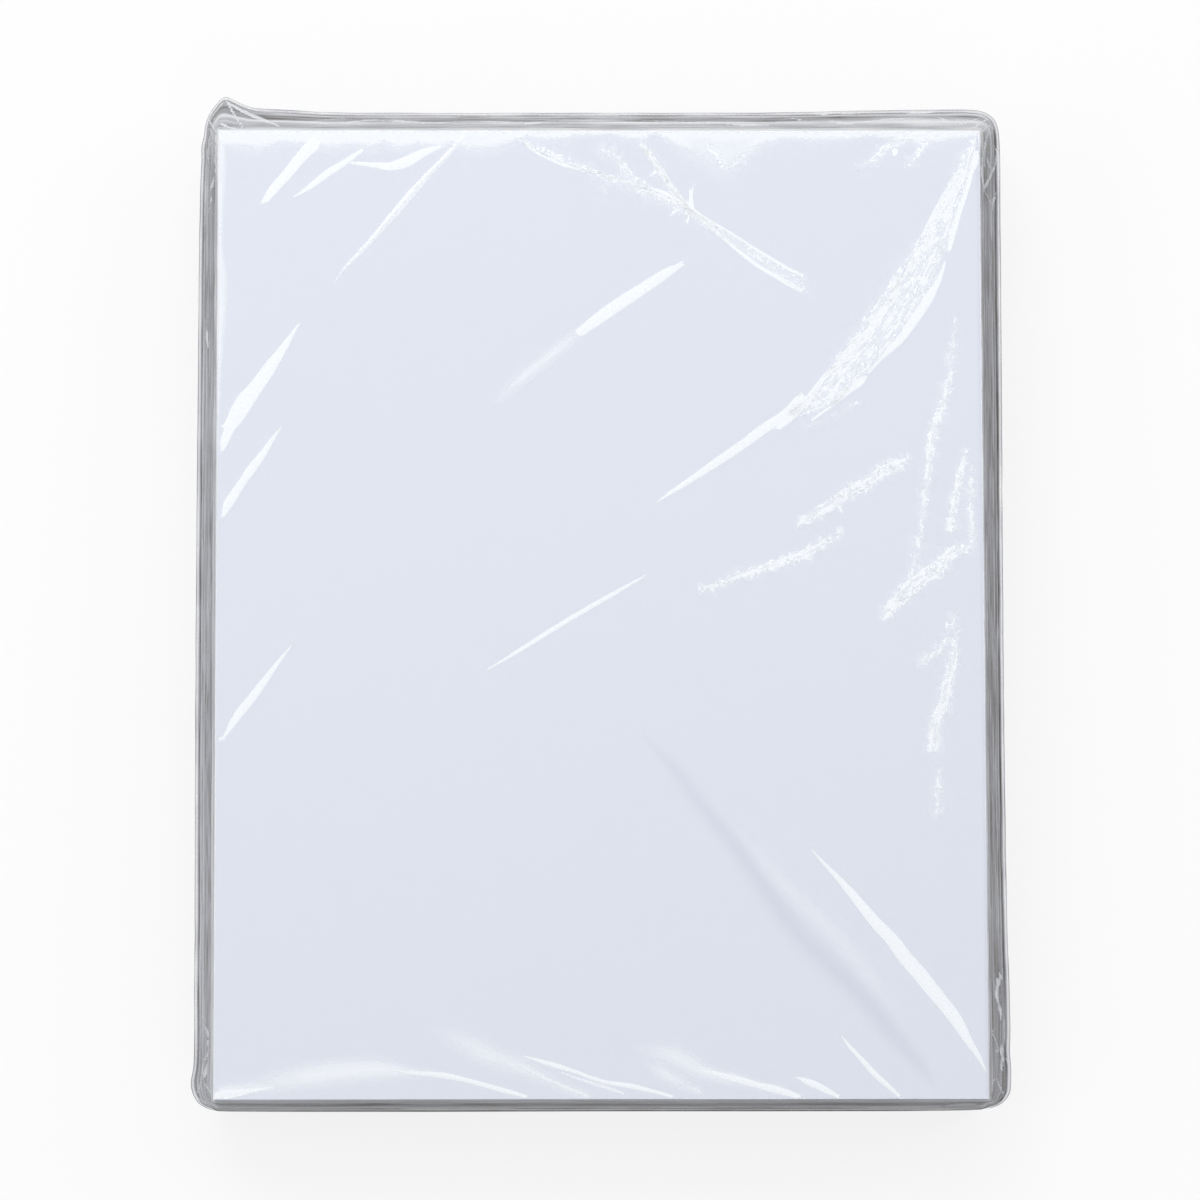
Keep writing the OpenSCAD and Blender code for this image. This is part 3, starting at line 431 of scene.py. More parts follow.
def through(stations: np.ndarray, step: float) -> np.ndarray:
    """Lay a smooth path through stations.

    Args:
        stations: rows whose first two columns are a place.
        step: distance between two rows of the path.

    Returns:
        Rows like the stations, a step apart.
    """
    run = np.r_[0, np.cumsum(np.linalg.norm(np.diff(stations[:, :2], axis=0), axis=1))]
    slope = np.gradient(stations, run, axis=0)
    at = np.linspace(0, run[-1], max(int(run[-1] / step), 2) + 1)
    k = np.clip(np.searchsorted(run, at, side="right") - 1, 0, len(run) - 2)
    h = (run[k + 1] - run[k])[:, None]
    s = (at[:, None] - run[k][:, None]) / h
    return (
        (1 + 2 * s) * (1 - s) ** 2 * stations[k]
        + s * (1 - s) ** 2 * h * slope[k]
        + s * s * (3 - 2 * s) * stations[k + 1]
        + s * s * (s - 1) * h * slope[k + 1]
    )


def sideways(path: np.ndarray) -> np.ndarray:
    """Unit vectors to the left of a path, one for each of its rows."""
    run = np.gradient(path[:, :2], axis=0)
    run /= np.maximum(np.linalg.norm(run, axis=1, keepdims=True), 1e-9)
    return np.stack([-run[:, 1], run[:, 0]], axis=1)


def nearest_on(path: np.ndarray, points: np.ndarray) -> dict[str, np.ndarray]:
    """Find how far points lie from a path.

    Args:
        path: rows of place and half width.
        points: places to look from.

    Returns:
        For each point its distance as gap, with a minus sign on the path's right, and at
        its nearest place on the path the half width as half and the way there as run.
    """
    best = np.full(len(points), 1e9)
    side = np.ones(len(points))
    half = np.full(len(points), 1e-3)
    way = np.zeros(len(points))
    start = 0.0
    for a, b in zip(path[:-1], path[1:]):
        run = b[:2] - a[:2]
        length = math.sqrt(run @ run)
        away = points - a[:2]
        t = np.clip(away @ run / (run @ run), 0, 1)
        gap = away - t[:, None] * run
        far = np.hypot(gap[:, 0], gap[:, 1])
        closer = far < best
        best[closer] = far[closer]
        side[closer] = np.sign(run[0] * gap[:, 1] - run[1] * gap[:, 0])[closer]
        half[closer] = (a[2] + (b[2] - a[2]) * t)[closer]
        way[closer] = (start + length * t)[closer]
        start += length
    return {"gap": best * side, "half": np.maximum(half, 1e-3), "run": way}


def lift(paint: np.ndarray, at: np.ndarray, value: np.ndarray) -> None:
    """Raise the paint at some places to a value, where it is lower."""
    paint[at] = np.maximum(paint[at], value)


class CreaseField:
    """The height, and the painted highlight and shade, that a set of folds gives to the film.

    The edges, SOFT_EDGE and REACH are in half widths of a fold, FADE is a share of its
    length, and PATH_STEP, LEAST_HALF, WIDEN_ROOM, RUN_ON and STRAND_SHIFT are millimetres.
    """

    # height, white of milky film and painted highlight, soft painted highlight, painted shade,
    # crumple, and the way along and across
    NAMES = ("height", "haze", "soft", "hollow", "crumple", "along", "across")
    PATH_STEP = 1.0
    LEAST_HALF = 0.08
    WIDEN_ROOM = 0.3
    BROKEN_EDGE = (0.85, 1.15)
    PULLED_EDGE = (0.75, 1.25)
    SOFT_EDGE = 1.1
    SOFT_FALL = 1.5
    REACH = 1.7
    RELIEF = 0.5
    BROKEN_RELIEF = 0.6
    # a swell's painted highlight: its gain on the fold's strength, and the most it reaches
    SWELL_HIGHLIGHT = 1.15
    MOST_SWELL_HIGHLIGHT = 0.9
    FADE = 0.4
    RUN_ON = (3, 8)
    STRAND_PACE = 3.0
    STRAND_SPAN = 13.0
    STRAND_SHIFT = 40

    def __init__(self, creases: tuple[Crease, ...], widen: float = 0.0) -> None:
        """Lay each fold's path, and widen the pulled ones, the narrow ones most.

        Args:
            creases: the folds.
            widen: how far the pulled ones are widened.
        """
        self.creases = creases
        self.paths = [through(np.array(c.stations), self.PATH_STEP) for c in creases]
        for crease, path in zip(creases, self.paths):
            half = np.maximum(path[:, 2], self.LEAST_HALF)
            spread = widen / (half + self.WIDEN_ROOM) if crease.fold is Fold.PULLED else 0.0
            path[:, 2] = half * (1 + spread)

    def near(self, path: np.ndarray, points: np.ndarray) -> np.ndarray:
        """Pick out the points that a fold can reach.

        Args:
            path: the fold's path.
            points: places seen from above.

        Returns:
            The indices of those that it can reach.
        """
        room = path[:, 2].max() * self.REACH
        low = path[:, :2].min(0) - room
        high = path[:, :2].max(0) + room
        return np.flatnonzero(((points > low) & (points < high)).all(1))

    def ends(self, path: np.ndarray, points: np.ndarray, run: np.ndarray) -> np.ndarray:
        """Fade a soft fold out towards its ends, but not at the sheets' edge.

        Args:
            path: the fold's path.
            points: places seen from above.
            run: how far along the path they lie.

        Returns:
            A factor from 0 to 1 for each place.
        """
        whole = np.hypot(*np.diff(path[:, :2], axis=0).T).sum()
        fade = smooth_step(0, self.FADE * whole, np.minimum(run, whole - run))
        inside = (HALF - np.abs(points)).min(1)
        return np.maximum(fade, 1 - smooth_step(*self.RUN_ON, inside))

    def crumple(
        self,
        out: dict[str, np.ndarray],
        at: np.ndarray,
        found: dict[str, np.ndarray],
        level: np.ndarray,
        number: int,
    ) -> None:
        """Paint a broken fold, with its strands where no stronger fold lies; its white is partly
        painted glints.

        Args:
            out: the arrays to paint.
            at: indices of the places near the fold.
            found: what nearest_on found for them.
            level: how crumpled the film is there.
            number: the fold's number, which tells its strands from the next fold's.
        """
        leads = (level >= out["crumple"][at]) & (np.abs(found["gap"]) < self.REACH * found["half"])
        way = found["run"][leads] + self.STRAND_SHIFT * number
        out["along"][at[leads]] = self.STRAND_PACE * way
        out["across"][at[leads]] = found["gap"][leads] / self.STRAND_SPAN
        lift(out["crumple"], at, level)

    def shape(self, points: np.ndarray) -> dict[str, np.ndarray]:
        """Work out what the folds do at some places.

        Args:
            points: places seen from above, in millimetres.

        Returns:
            Arrays of height in millimetres, of white that is milky film and painted highlight,
            of soft painted highlight, of painted shade, of crumple, and of the way along and
            across the broken folds.
        """
        out = {name: np.zeros(len(points)) for name in self.NAMES}
        for number, (crease, path) in enumerate(zip(self.creases, self.paths)):
            at = self.near(path, points)
            if not len(at):
                continue
            found = nearest_on(path, points[at])
            r = np.abs(found["gap"]) / found["half"]
            size = np.sqrt(found["half"] / path[:, 2].max())
            rise = self.RELIEF * crease.height * size
            limits = self.BROKEN_EDGE if crease.fold.broken else self.PULLED_EDGE
            edge = 1 - smooth_step(*limits, r)
            soft = np.exp(-self.SOFT_FALL * r * r)
            soft *= 1 - smooth_step(self.SOFT_EDGE, self.REACH, r)
            # a valley gets relief and painted shade, a swell only a painted highlight, and pulled
            # and broken folds relief with white that is partly painted highlight
            if crease.fold is Fold.VALLEY:
                out["height"][at] += rise * soft
                lift(out["hollow"], at, crease.haze * soft * size)
            elif crease.fold is Fold.SWELL:
                glow = min(self.SWELL_HIGHLIGHT * crease.haze, self.MOST_SWELL_HIGHLIGHT) * soft
                lift(out["soft"], at, glow * self.ends(path, points[at], found["run"]))
            elif crease.fold is Fold.PULLED:
                lift(out["height"], at, rise * np.clip(1 - r * r, 0, 1) ** 2)
                lift(out["haze"], at, crease.haze * edge * (0.7 + 0.3 * size))
            else:
                flat_top = rise * np.clip(1 - r**4, 0, 1)
                lift(out["height"], at, self.BROKEN_RELIEF * flat_top)
                self.crumple(out, at, found, crease.haze * edge, number)
        return out


@dataclass
class Shell:
    """A mesh in the making: its points, faces and what is painted on them."""

    # Twice the area of the smallest face that is kept, in square metres
    SLIVER = 1e-12

    points: list[np.ndarray] = field(default_factory=list)
    faces: list[np.ndarray] = field(default_factory=list)
    paint: dict[str, list[np.ndarray]] = field(default_factory=dict)
    count: int = 0

    def add_points(
        self, plan: np.ndarray, z: float | np.ndarray, **paint: float | np.ndarray
    ) -> np.ndarray:
        """Add points and their paint.

        Args:
            plan: the points seen from above, in millimetres.
            z: their heights, or one height for all of them.
            paint: for each named paint, a value a point or one for all.

        Returns:
            The indices of the new points.
        """
        first = self.count
        self.points.append(np.c_[plan, np.broadcast_to(z, len(plan))])
        for name in {**self.paint, **paint}:
            new = np.broadcast_to(np.asarray(paint.get(name, 0.0), float), len(plan))
            self.paint.setdefault(name, [np.zeros(first)] if first else []).append(new)
        self.count += len(plan)
        return np.arange(first, self.count)

    def add_faces(self, faces: np.ndarray) -> None:
        """Add rows of three corner indices."""
        self.faces.append(np.asarray(faces, int))

    def bridge(self, low: np.ndarray, high: np.ndarray) -> None:
        """Join two closed rings of as many points with a band of faces.

        Args:
            low: indices of the ring that lies lower, turning to the left.
            high: indices of the other ring.
        """
        low_next = np.roll(low, -1)
        high_next = np.roll(high, -1)
        self.add_faces(np.stack([low, low_next, high_next], 1))
        self.add_faces(np.stack([low, high_next, high], 1))

    def build(
        self, name: str, flat: Callable[[np.ndarray], np.ndarray] | None = None
    ) -> bpy.types.Object:
        """Make the Blender object.

        Args:
            name: the new object's name.
            flat: tells which faces are shaded flat, from the faces' corner indices.

        Returns:
            The object.
        """
        points = np.concatenate(self.points) * MM
        faces = np.concatenate(self.faces)
        a, b, c = (points[faces[:, k]] for k in range(3))
        area = np.linalg.norm(np.cross(b - a, c - a), axis=1)
        faces = faces[area > self.SLIVER]
        mesh = bpy.data.meshes.new(name)
        mesh.vertices.add(len(points))
        mesh.vertices.foreach_set("co", points.astype(np.float32).ravel())
        mesh.loops.add(faces.size)
        mesh.loops.foreach_set("vertex_index", faces.ravel().astype(np.int32))
        mesh.polygons.add(len(faces))
        mesh.polygons.foreach_set("loop_start", np.arange(0, faces.size, 3, dtype=np.int32))
        smooth = np.ones(len(faces), bool) if flat is None else ~flat(faces)
        mesh.polygons.foreach_set("use_smooth", smooth)
        mesh.update(calc_edges=True)
        mesh.validate()
        for label, parts in self.paint.items():
            layer = mesh.attributes.new(label, "FLOAT", "CORNER")
            layer.data.foreach_set("value", np.concatenate(parts)[faces].ravel())
        piece = bpy.data.objects.new(name, mesh)
        bpy.context.scene.collection.objects.link(piece)
        return piece


# What a node's input takes: a number, a vector or colour, or another node's output
Value = float | tuple[float, ...] | bpy.types.NodeSocket
Colour = tuple[float, float, float]

WHITE = (1.0, 1.0, 1.0, 1.0)


class Wiring:
    """Short calls that place and join shader nodes in one tree."""

    def __init__(self, tree: bpy.types.NodeTree) -> None:
        """Keep the tree to work on."""
        self.tree = tree

    def add(self, kind: str, values: dict | None = None, **settings) -> bpy.types.Node:
        """Place a node.

        Args:
            kind: the node's type.
            values: numbers, colours or sockets for its inputs, by name or index.
            settings: the node's own options.

        Returns:
            The node.
        """
        node = self.tree.nodes.new(kind)
        for key, value in settings.items():
            setattr(node, key, value)
        for key, value in (values or {}).items():
            if isinstance(value, bpy.types.NodeSocket):
                self.tree.links.new(value, node.inputs[key])
            else:
                node.inputs[key].default_value = value
        return node

    def math(
        self, operation: str, a: Value, b: Value = 0.0, clamp: bool = False
    ) -> bpy.types.NodeSocket:
        """Place a Math node and give its output."""
        values = {0: a, 1: b}
        return self.add("ShaderNodeMath", values, operation=operation, use_clamp=clamp).outputs[0]

    def vector(self, operation: str, values: dict) -> bpy.types.NodeSocket:
        """Place a Vector Math node and give its output."""
        return self.add("ShaderNodeVectorMath", values, operation=operation).outputs[0]

    def ramp(
        self, value: Value, low: float, high: float, to_low: float = 0.0, to_high: float = 1.0
    ) -> bpy.types.NodeSocket:
        """Ease a value between two limits with a smooth Map Range node."""
        values = {"Value": value, 1: low, 2: high, 3: to_low, 4: to_high}
        node = self.add("ShaderNodeMapRange", values, interpolation_type="SMOOTHSTEP")
        return node.outputs["Result"]

    def mix(self, share: Value, a: Value, b: Value) -> bpy.types.NodeSocket:
        """Blend two colours with a Mix node and give its output."""
        values = {"Factor": share, 6: a, 7: b}
        return self.add("ShaderNodeMix", values, data_type="RGBA").outputs[2]

    def shader(self, kind: str, values: dict) -> bpy.types.NodeSocket:
        """Place a shader's node and give its output."""
        return self.add(f"ShaderNode{kind}", values).outputs[0]

    def blend(
        self, share: Value, a: bpy.types.NodeSocket, b: bpy.types.NodeSocket
    ) -> bpy.types.NodeSocket:
        """Blend two shaders with a Mix Shader node and give its output."""
        return self.shader("MixShader", {0: share, 1: a, 2: b})

    def glow(self) -> bpy.types.NodeSocket:
        """Place a plain white glow and give its output."""
        return self.shader("Emission", {"Color": WHITE, "Strength": 1.0})

    def surface(self, shader: bpy.types.NodeSocket) -> None:
        """End the tree with the output node, which shows the shader."""
        self.add("ShaderNodeOutputMaterial", {"Surface": shader})

    def paint(self, name: str) -> bpy.types.NodeSocket:
        """Read a mesh's paint by name."""
        return self.add("ShaderNodeAttribute", attribute_name=name).outputs["Fac"]

    def place(self) -> bpy.types.NodeSocket:
        """Give the place on the object."""
        return self.add("ShaderNodeTexCoord").outputs["Object"]


class Grain:
    """The fine grain that paper and film share, as a node group."""

    NAME = "fine_grain"
    SOCKETS = (
        ("Place", "INPUT", "NodeSocketVector", None),
        ("Size", "INPUT", "NodeSocketFloat", 1000.0),
        ("Stretch", "INPUT", "NodeSocketVector", (1, 1, 1)),
        ("Depth", "INPUT", "NodeSocketFloat", 0.1),
        ("Mask", "OUTPUT", "NodeSocketFloat", None),
        ("Normal", "OUTPUT", "NodeSocketVector", None),
    )
    DETAIL = 1.5
    ROUGHNESS = 0.6
    RELIEF = 0.2 * MM

    @classmethod
    def group(cls) -> bpy.types.NodeTree:
        """Build the group once.

        Returns:
            The group, with Place, Size, Stretch and Depth going in, and Mask and Normal
            coming out.
        """
        if cls.NAME in bpy.data.node_groups:
            return bpy.data.node_groups[cls.NAME]
        tree = bpy.data.node_groups.new(cls.NAME, "ShaderNodeTree")
        for name, side, kind, start in cls.SOCKETS:
            socket = tree.interface.new_socket(name, in_out=side, socket_type=kind)
            if start is not None:
                socket.default_value = start
        wires = Wiring(tree)
        given = wires.add("NodeGroupInput").outputs
        noise = wires.add(
            "ShaderNodeTexNoise",
            {
                "Vector": wires.vector("MULTIPLY", {0: given["Place"], 1: given["Stretch"]}),
                "Scale": given["Size"],
                "Detail": cls.DETAIL,
                "Roughness": cls.ROUGHNESS,
            },
        )
        mask = noise.outputs["Fac"]
        bump = wires.add(
            "ShaderNodeBump",
            {"Strength": given["Depth"], "Distance": cls.RELIEF, "Height": mask},
        )
        wires.add("NodeGroupOutput", {"Mask": mask, "Normal": bump.outputs["Normal"]})
        return tree

    @classmethod
    def use(
        cls, wires: Wiring, size: float, depth: float, stretch: Colour = (1, 1, 1)
    ) -> bpy.types.NodeInputs:
        """Place the group in a material.

        Args:
            wires: the material's wiring.
            size: how fine the grain is, in grains a metre or so.
            depth: how strongly the grain shows as relief.
            stretch: how much finer the grain is along each axis.

        Returns:
            The group's outputs.
        """
        values = {"Place": wires.place(), "Size": size, "Depth": depth, "Stretch": stretch}
        return wires.add("ShaderNodeGroup", values, node_tree=cls.group()).outputs


def blank_material(name: str) -> tuple[bpy.types.Material, Wiring]:
    """Start a material with an empty tree.

    Args:
        name: the material's name.

    Returns:
        The material and its wiring.
    """
    material = bpy.data.materials.new(name)
    material.use_nodes = True
    material.node_tree.nodes.clear()
    return material, Wiring(material.node_tree)


@dataclass(frozen=True)
class PaperFinish:
    """Smooth, uncoated, cool white drawing paper."""

    face: Colour = (0.785, 0.817, 0.907)
    cut: Colour = (0.74, 0.78, 0.84)
    # dark lines between the sheets: painted shade in the gaps
    gap: Colour = (0.38, 0.40, 0.44)
    roughness: float = 0.85
    specular: float = 0.3
    fibres_a_metre: float = 2600.0
    sheets_a_metre: float = 1400.0
    sheet_stretch: tuple[float, float, float] = (0.012, 0.012, 1.0)
    sheet_relief: float = 0.5

    def body(self, wires: Wiring, values: dict) -> bpy.types.NodeSocket:
        """Place the paper's own shader and give its output."""
        base = {"Roughness": self.roughness, "Specular IOR Level": self.specular}
        return wires.shader("BsdfPrincipled", base | values)

    def build(self) -> bpy.types.Material:
        """Make the material: faint fibres on top and sheet lines, darkened with painted shade, on
        the cut sides.

        Returns:
            The material.
        """
        material, wires = blank_material("drawing_paper")
        fibre = Grain.use(wires, self.fibres_a_metre, 0.0)["Mask"]
        speck = wires.ramp(fibre, 0.25, 0.75, 0.975, 1.01)
        face = wires.vector("SCALE", {0: self.face, "Scale": speck})
        top = self.body(wires, {"Base Color": face})
        sheets = Grain.use(wires, self.sheets_a_metre, self.sheet_relief, self.sheet_stretch)
        line = wires.ramp(sheets["Mask"], 0.34, 0.52)
        # painted shade in the gaps between sheets, with the grain's grooves as relief
        cut = wires.mix(line, (*self.gap, 1), (*self.cut, 1))
        side = self.body(wires, {"Base Color": cut, "Normal": sheets["Normal"]})
        normal = wires.add("ShaderNodeNewGeometry").outputs["Normal"]
        upright = wires.add("ShaderNodeSeparateXYZ", {0: normal}).outputs["Z"]
        flat = wires.math("GREATER_THAN", wires.math("ABSOLUTE", upright), 0.5)
        wires.surface(wires.blend(flat, side, top))
        return material


@dataclass(frozen=True)
class FilmFinish:
    """Clear glossy shrink film, white where it is folded, milky and with painted highlight, and
    grey where it is gathered, from layers of film and painted shade.
    """

    # colour of the white on the folds: milky film and painted highlight
    haze: Colour = (0.938, 0.965, 1.0)
    # greys of the gathered film, from half to fully gathered: layers of film and painted shade
    partly: Colour = (0.625, 0.63, 0.665)
    partly_at: float = 0.45
    thick_and_shaded: Colour = (0.213, 0.194, 0.162)
    # grey that dims the mirror on gathered film, a painted shade on its reflection
    sheen_shade: Colour = (0.14, 0.14, 0.14)
    # colour that painted shade gives the film in its hollows and at the right edge
    hollow: Colour = (0.90, 0.905, 0.925)
    head_on: float = 0.06
    grazing_power: float = 5.0
    crackle_a_metre: float = 1000.0
    crackle_relief: float = 0.25
    strands_along: float = 0.05
    strands_across: float = 9.0
    fray: float = 0.2
    lean: float = 0.15
    crease_roughness: float = 0.4
    crease_specular: float = 0.3
    # least white, painted highlight included, below which the film is left clear
    least_white: float = 0.002

    def streaks(self, wires: Wiring) -> bpy.types.NodeSocket:
        """Lay strands that run along the folds and the gathers.

        Args:
            wires: the material's wiring.

        Returns:
            The strands' mask.
        """
        along = wires.math("MULTIPLY", wires.paint("along"), self.strands_along)
        across = wires.math("MULTIPLY", wires.paint("across"), self.strands_across)
        place = wires.add("ShaderNodeCombineXYZ", {"X": along, "Y": across}).outputs[0]
        noise = wires.add(
            "ShaderNodeTexNoise",
            {"Vector": place, "Scale": 1.0, "Detail": 2.0, "Roughness": 0.55},
            noise_dimensions="2D",
        )
        return noise.outputs["Fac"]

    def whiteness(
        self, wires: Wiring, crackle: bpy.types.NodeSocket, streaks: bpy.types.NodeSocket
    ) -> bpy.types.NodeSocket:
        """Work out how white the creases are, milky film and painted highlight, with frayed edges
        and torn strands.

        Args:
            wires: the material's wiring.
            crackle: the fine crackle's mask.
            streaks: the strands' mask.

        Returns:
            The whiteness, from 0 to 1.
        """
        haze, crumple = wires.paint("haze"), wires.paint("crumple")
        torn = wires.math("MULTIPLY", wires.math("SUBTRACT", crackle, 0.5), self.fray)
        strand = wires.ramp(streaks, 0.36, 0.64, -0.45, 0.45)
        frayed = wires.math("ADD", torn, wires.math("MULTIPLY", strand, crumple))
        crisp = wires.ramp(wires.math("ADD", haze, frayed), 0.34, 0.6)
        level = wires.ramp(wires.math("MAXIMUM", haze, crumple), 0.4, 0.9, 0.55, 1.0)
        opaque = wires.math("MULTIPLY", level, wires.ramp(crackle, 0.3, 0.6, 0.9, 1.0))
        return wires.math("MULTIPLY", crisp, opaque)

    @staticmethod
    def seen(wires: Wiring) -> bpy.types.NodeSocket:
        """Give 1 to rays that look at the film and 0 to those that carry light past it, so that the
        painted white lights nothing and casts no shadow.
        """
        rays = wires.add("ShaderNodeLightPath").outputs
        let_by = wires.math("MAXIMUM", rays["Is Shadow Ray"], rays["Is Diffuse Ray"])
        return wires.math("SUBTRACT", 1.0, let_by)

    def tint(
        self, wires: Wiring, facing: bpy.types.NodeSocket, streaks: bpy.types.NodeSocket
    ) -> bpy.types.NodeSocket:
        """Work out the colour of light that comes through the gathers, darkened by the film's
        layers and by painted shade.

        Args:
            wires: the material's wiring.
            facing: how far the film turns away from the viewer.
            streaks: the strands' mask.

        Returns:
            The colour.
        """
        lined = wires.ramp(streaks, 0.3, 0.7, 0.8, 1.2)
        length = wires.ramp(facing, 0.0, 0.4, 0.25, 1.0)
        layers = wires.math("MULTIPLY", lined, length)
        # how gathered the film is here, with its painted shade
        gather_and_shade_level = wires.math("MULTIPLY", wires.paint("dense"), layers, clamp=True)
        tint = wires.add("ShaderNodeValToRGB", {0: gather_and_shade_level})
        stops = tint.color_ramp.elements
        stops[0].color = WHITE
        stops[1].color = (*self.thick_and_shaded, 1)
        stops.new(self.partly_at).color = (*self.partly, 1)
        return tint.outputs[0]

    def clear(self, wires: Wiring, streaks: bpy.types.NodeSocket) -> bpy.types.NodeSocket:
        """Make the uncreased film: tinted where it is gathered, by layers of film and painted
        shade, darker with painted shade in its hollows, and shiny, its mirror dimmed by painted
        shade where it is gathered.

        Args:
            wires: the material's wiring.
            streaks: the strands' mask.

        Returns:
            The film's shader.
        """
        dense = wires.paint("dense")
        facing = wires.add("ShaderNodeLayerWeight", {"Blend": 0.5}).outputs["Facing"]
        # painted shade in the film's hollows
        hollow_shaded = wires.mix(wires.paint("hollow"), WHITE, (*self.hollow, 1))
        thin = wires.shader("BsdfTransparent", {"Color": hollow_shaded})
        gathered = wires.shader("BsdfTransparent", {"Color": self.tint(wires, facing, streaks)})
        body = wires.blend(wires.math("GREATER_THAN", dense, 0.0), thin, gathered)
        # the mirror dimmed by painted shade where the film is gathered
        sheen = wires.mix(dense, WHITE, (*self.sheen_shade, 1))
        gloss = wires.shader("BsdfGlossy", {"Color": sheen, "Roughness": 0.0})
        grazing = wires.math("POWER", facing, self.grazing_power)
        edge_on = wires.math("MULTIPLY", grazing, 1 - self.head_on)
        return wires.blend(wires.math("ADD", edge_on, self.head_on), body, gloss)

    def milk_and_highlight(self, wires: Wiring, crackle: bpy.types.NodeSocket) -> bpy.types.NodeSocket:
        """Make the white of the creases, milky film and painted highlight, which looks up and leans
        with the crackle.

        Args:
            wires: the material's wiring.
            crackle: the fine crackle's normal.

        Returns:
            The white's shader.
        """
        tilted = wires.vector(
            "MULTIPLY_ADD", {0: crackle, 1: (self.lean,) * 3, 2: (0, 0, 1 - self.lean)}
        )
        values = {
            "Base Color": (*self.haze, 1),
            "Roughness": self.crease_roughness,
            "Specular IOR Level": self.crease_specular,
            "Normal": wires.vector("NORMALIZE", {0: tilted}),
        }
        return wires.shader("BsdfPrincipled", values)

    def build(self) -> bpy.types.Material:
        """Make the material: clear film with white of milky film and painted highlight, gathers
        grey with painted shade, and a fine crackle.

        Returns:
            The material.
        """
        material, wires = blank_material("clear_film")
        crackle = Grain.use(wires, self.crackle_a_metre, self.crackle_relief)
        streaks = self.streaks(wires)
        seen = self.seen(wires)
        # soft white: painted highlight
        soft = wires.paint("soft")
        film = self.clear(wires, streaks)
        whiteness = self.whiteness(wires, crackle["Mask"], streaks)
        # the white, painted highlight included, shows only to rays that look at the film
        white = wires.math("MULTIPLY", wires.math("MAXIMUM", whiteness, soft), seen)
        marked = wires.blend(white, film, self.milk_and_highlight(wires, crackle["Normal"]))
        either = wires.math("MAXIMUM", wires.paint("haze"), soft)
        whitish = wires.math("MULTIPLY", either, seen)
        is_marked = wires.math("GREATER_THAN", whitish, self.least_white)
        wires.surface(wires.blend(is_marked, film, marked))
        return material


@dataclass(frozen=True)
class FloorFinish:
    """A plain white floor that shows as the backdrop and keeps the pack's shadow."""

    colour: Colour = (0.92, 0.92, 0.92)
    backdrop: float = 0.8

    @staticmethod
    def seen(wires: Wiring) -> bpy.types.NodeSocket:
        """Give 1 to rays that look at the floor and 0 to those that carry its light."""
        path = wires.add("ShaderNodeLightPath").outputs
        either = wires.math("MAXIMUM", path["Is Camera Ray"], path["Is Glossy Ray"])
        return wires.math("MAXIMUM", either, path["Is Transmission Ray"])

    def build(self) -> bpy.types.Material:
        """Make the material: white that glows as the backdrop does.

        Returns:
            The material.
        """
        material, wires = blank_material("white_floor")
        body = wires.shader("BsdfDiffuse", {"Color": (*self.colour, 1)})
        share = wires.math("MULTIPLY", self.seen(wires), self.backdrop)
        wires.surface(wires.blend(share, body, wires.glow()))
        return material


# What fills a ring: for places seen from above, their heights and their named paints
Filling = Callable[[np.ndarray], tuple[float | np.ndarray, dict[str, np.ndarray]]]


def spread_over(
    shell: Shell,
    edge: np.ndarray,
    ring: np.ndarray,
    inside: np.ndarray,
    lines: list[np.ndarray],
    filling: Filling,
    turn: int = 1,
) -> None:
    """Fill a closed ring with triangles through given points and lines.

    Args:
        shell: the mesh in the making.
        edge: places round the ring, turning to the left.
        ring: their indices in the mesh.
        inside: places inside the ring.
        lines: runs of places that edges follow.
        filling: gives the heights and the named paints for places.
        turn: 1 where the faces look up and -1 where they look down.
    """
    n = len(edge)
    bonds = [(k, (k + 1) % n) for k in range(n)]
    first = n + len(inside)
    for line in lines:
        bonds.extend((first + k, first + k + 1) for k in range(len(line) - 1))
        first += len(line)
    given = [Vector(place) for place in np.concatenate([edge, inside, *lines])]
    corners, _, triangles, sources, *_ = delaunay_2d_cdt(given, bonds, [list(range(n))], 1, 1e-4)
    spots = np.array([(v.x, v.y) for v in corners])
    at = np.full(len(spots), -1)
    for k, origins in enumerate(sources):
        on_ring = [s for s in origins if s < n]
        if on_ring:
            at[k] = ring[on_ring[0]]
    new = np.flatnonzero(at < 0)
    height, paints = filling(spots[new])
    at[new] = shell.add_points(spots[new], height, **paints)
    faces = np.array([f for f in triangles if len(f) == 3])
    corner = spots[faces]
    cross = np.cross(corner[:, 1] - corner[:, 0], corner[:, 2] - corner[:, 0])
    faces[cross * turn < 0] = faces[cross * turn < 0][:, ::-1]
    shell.add_faces(at[faces])


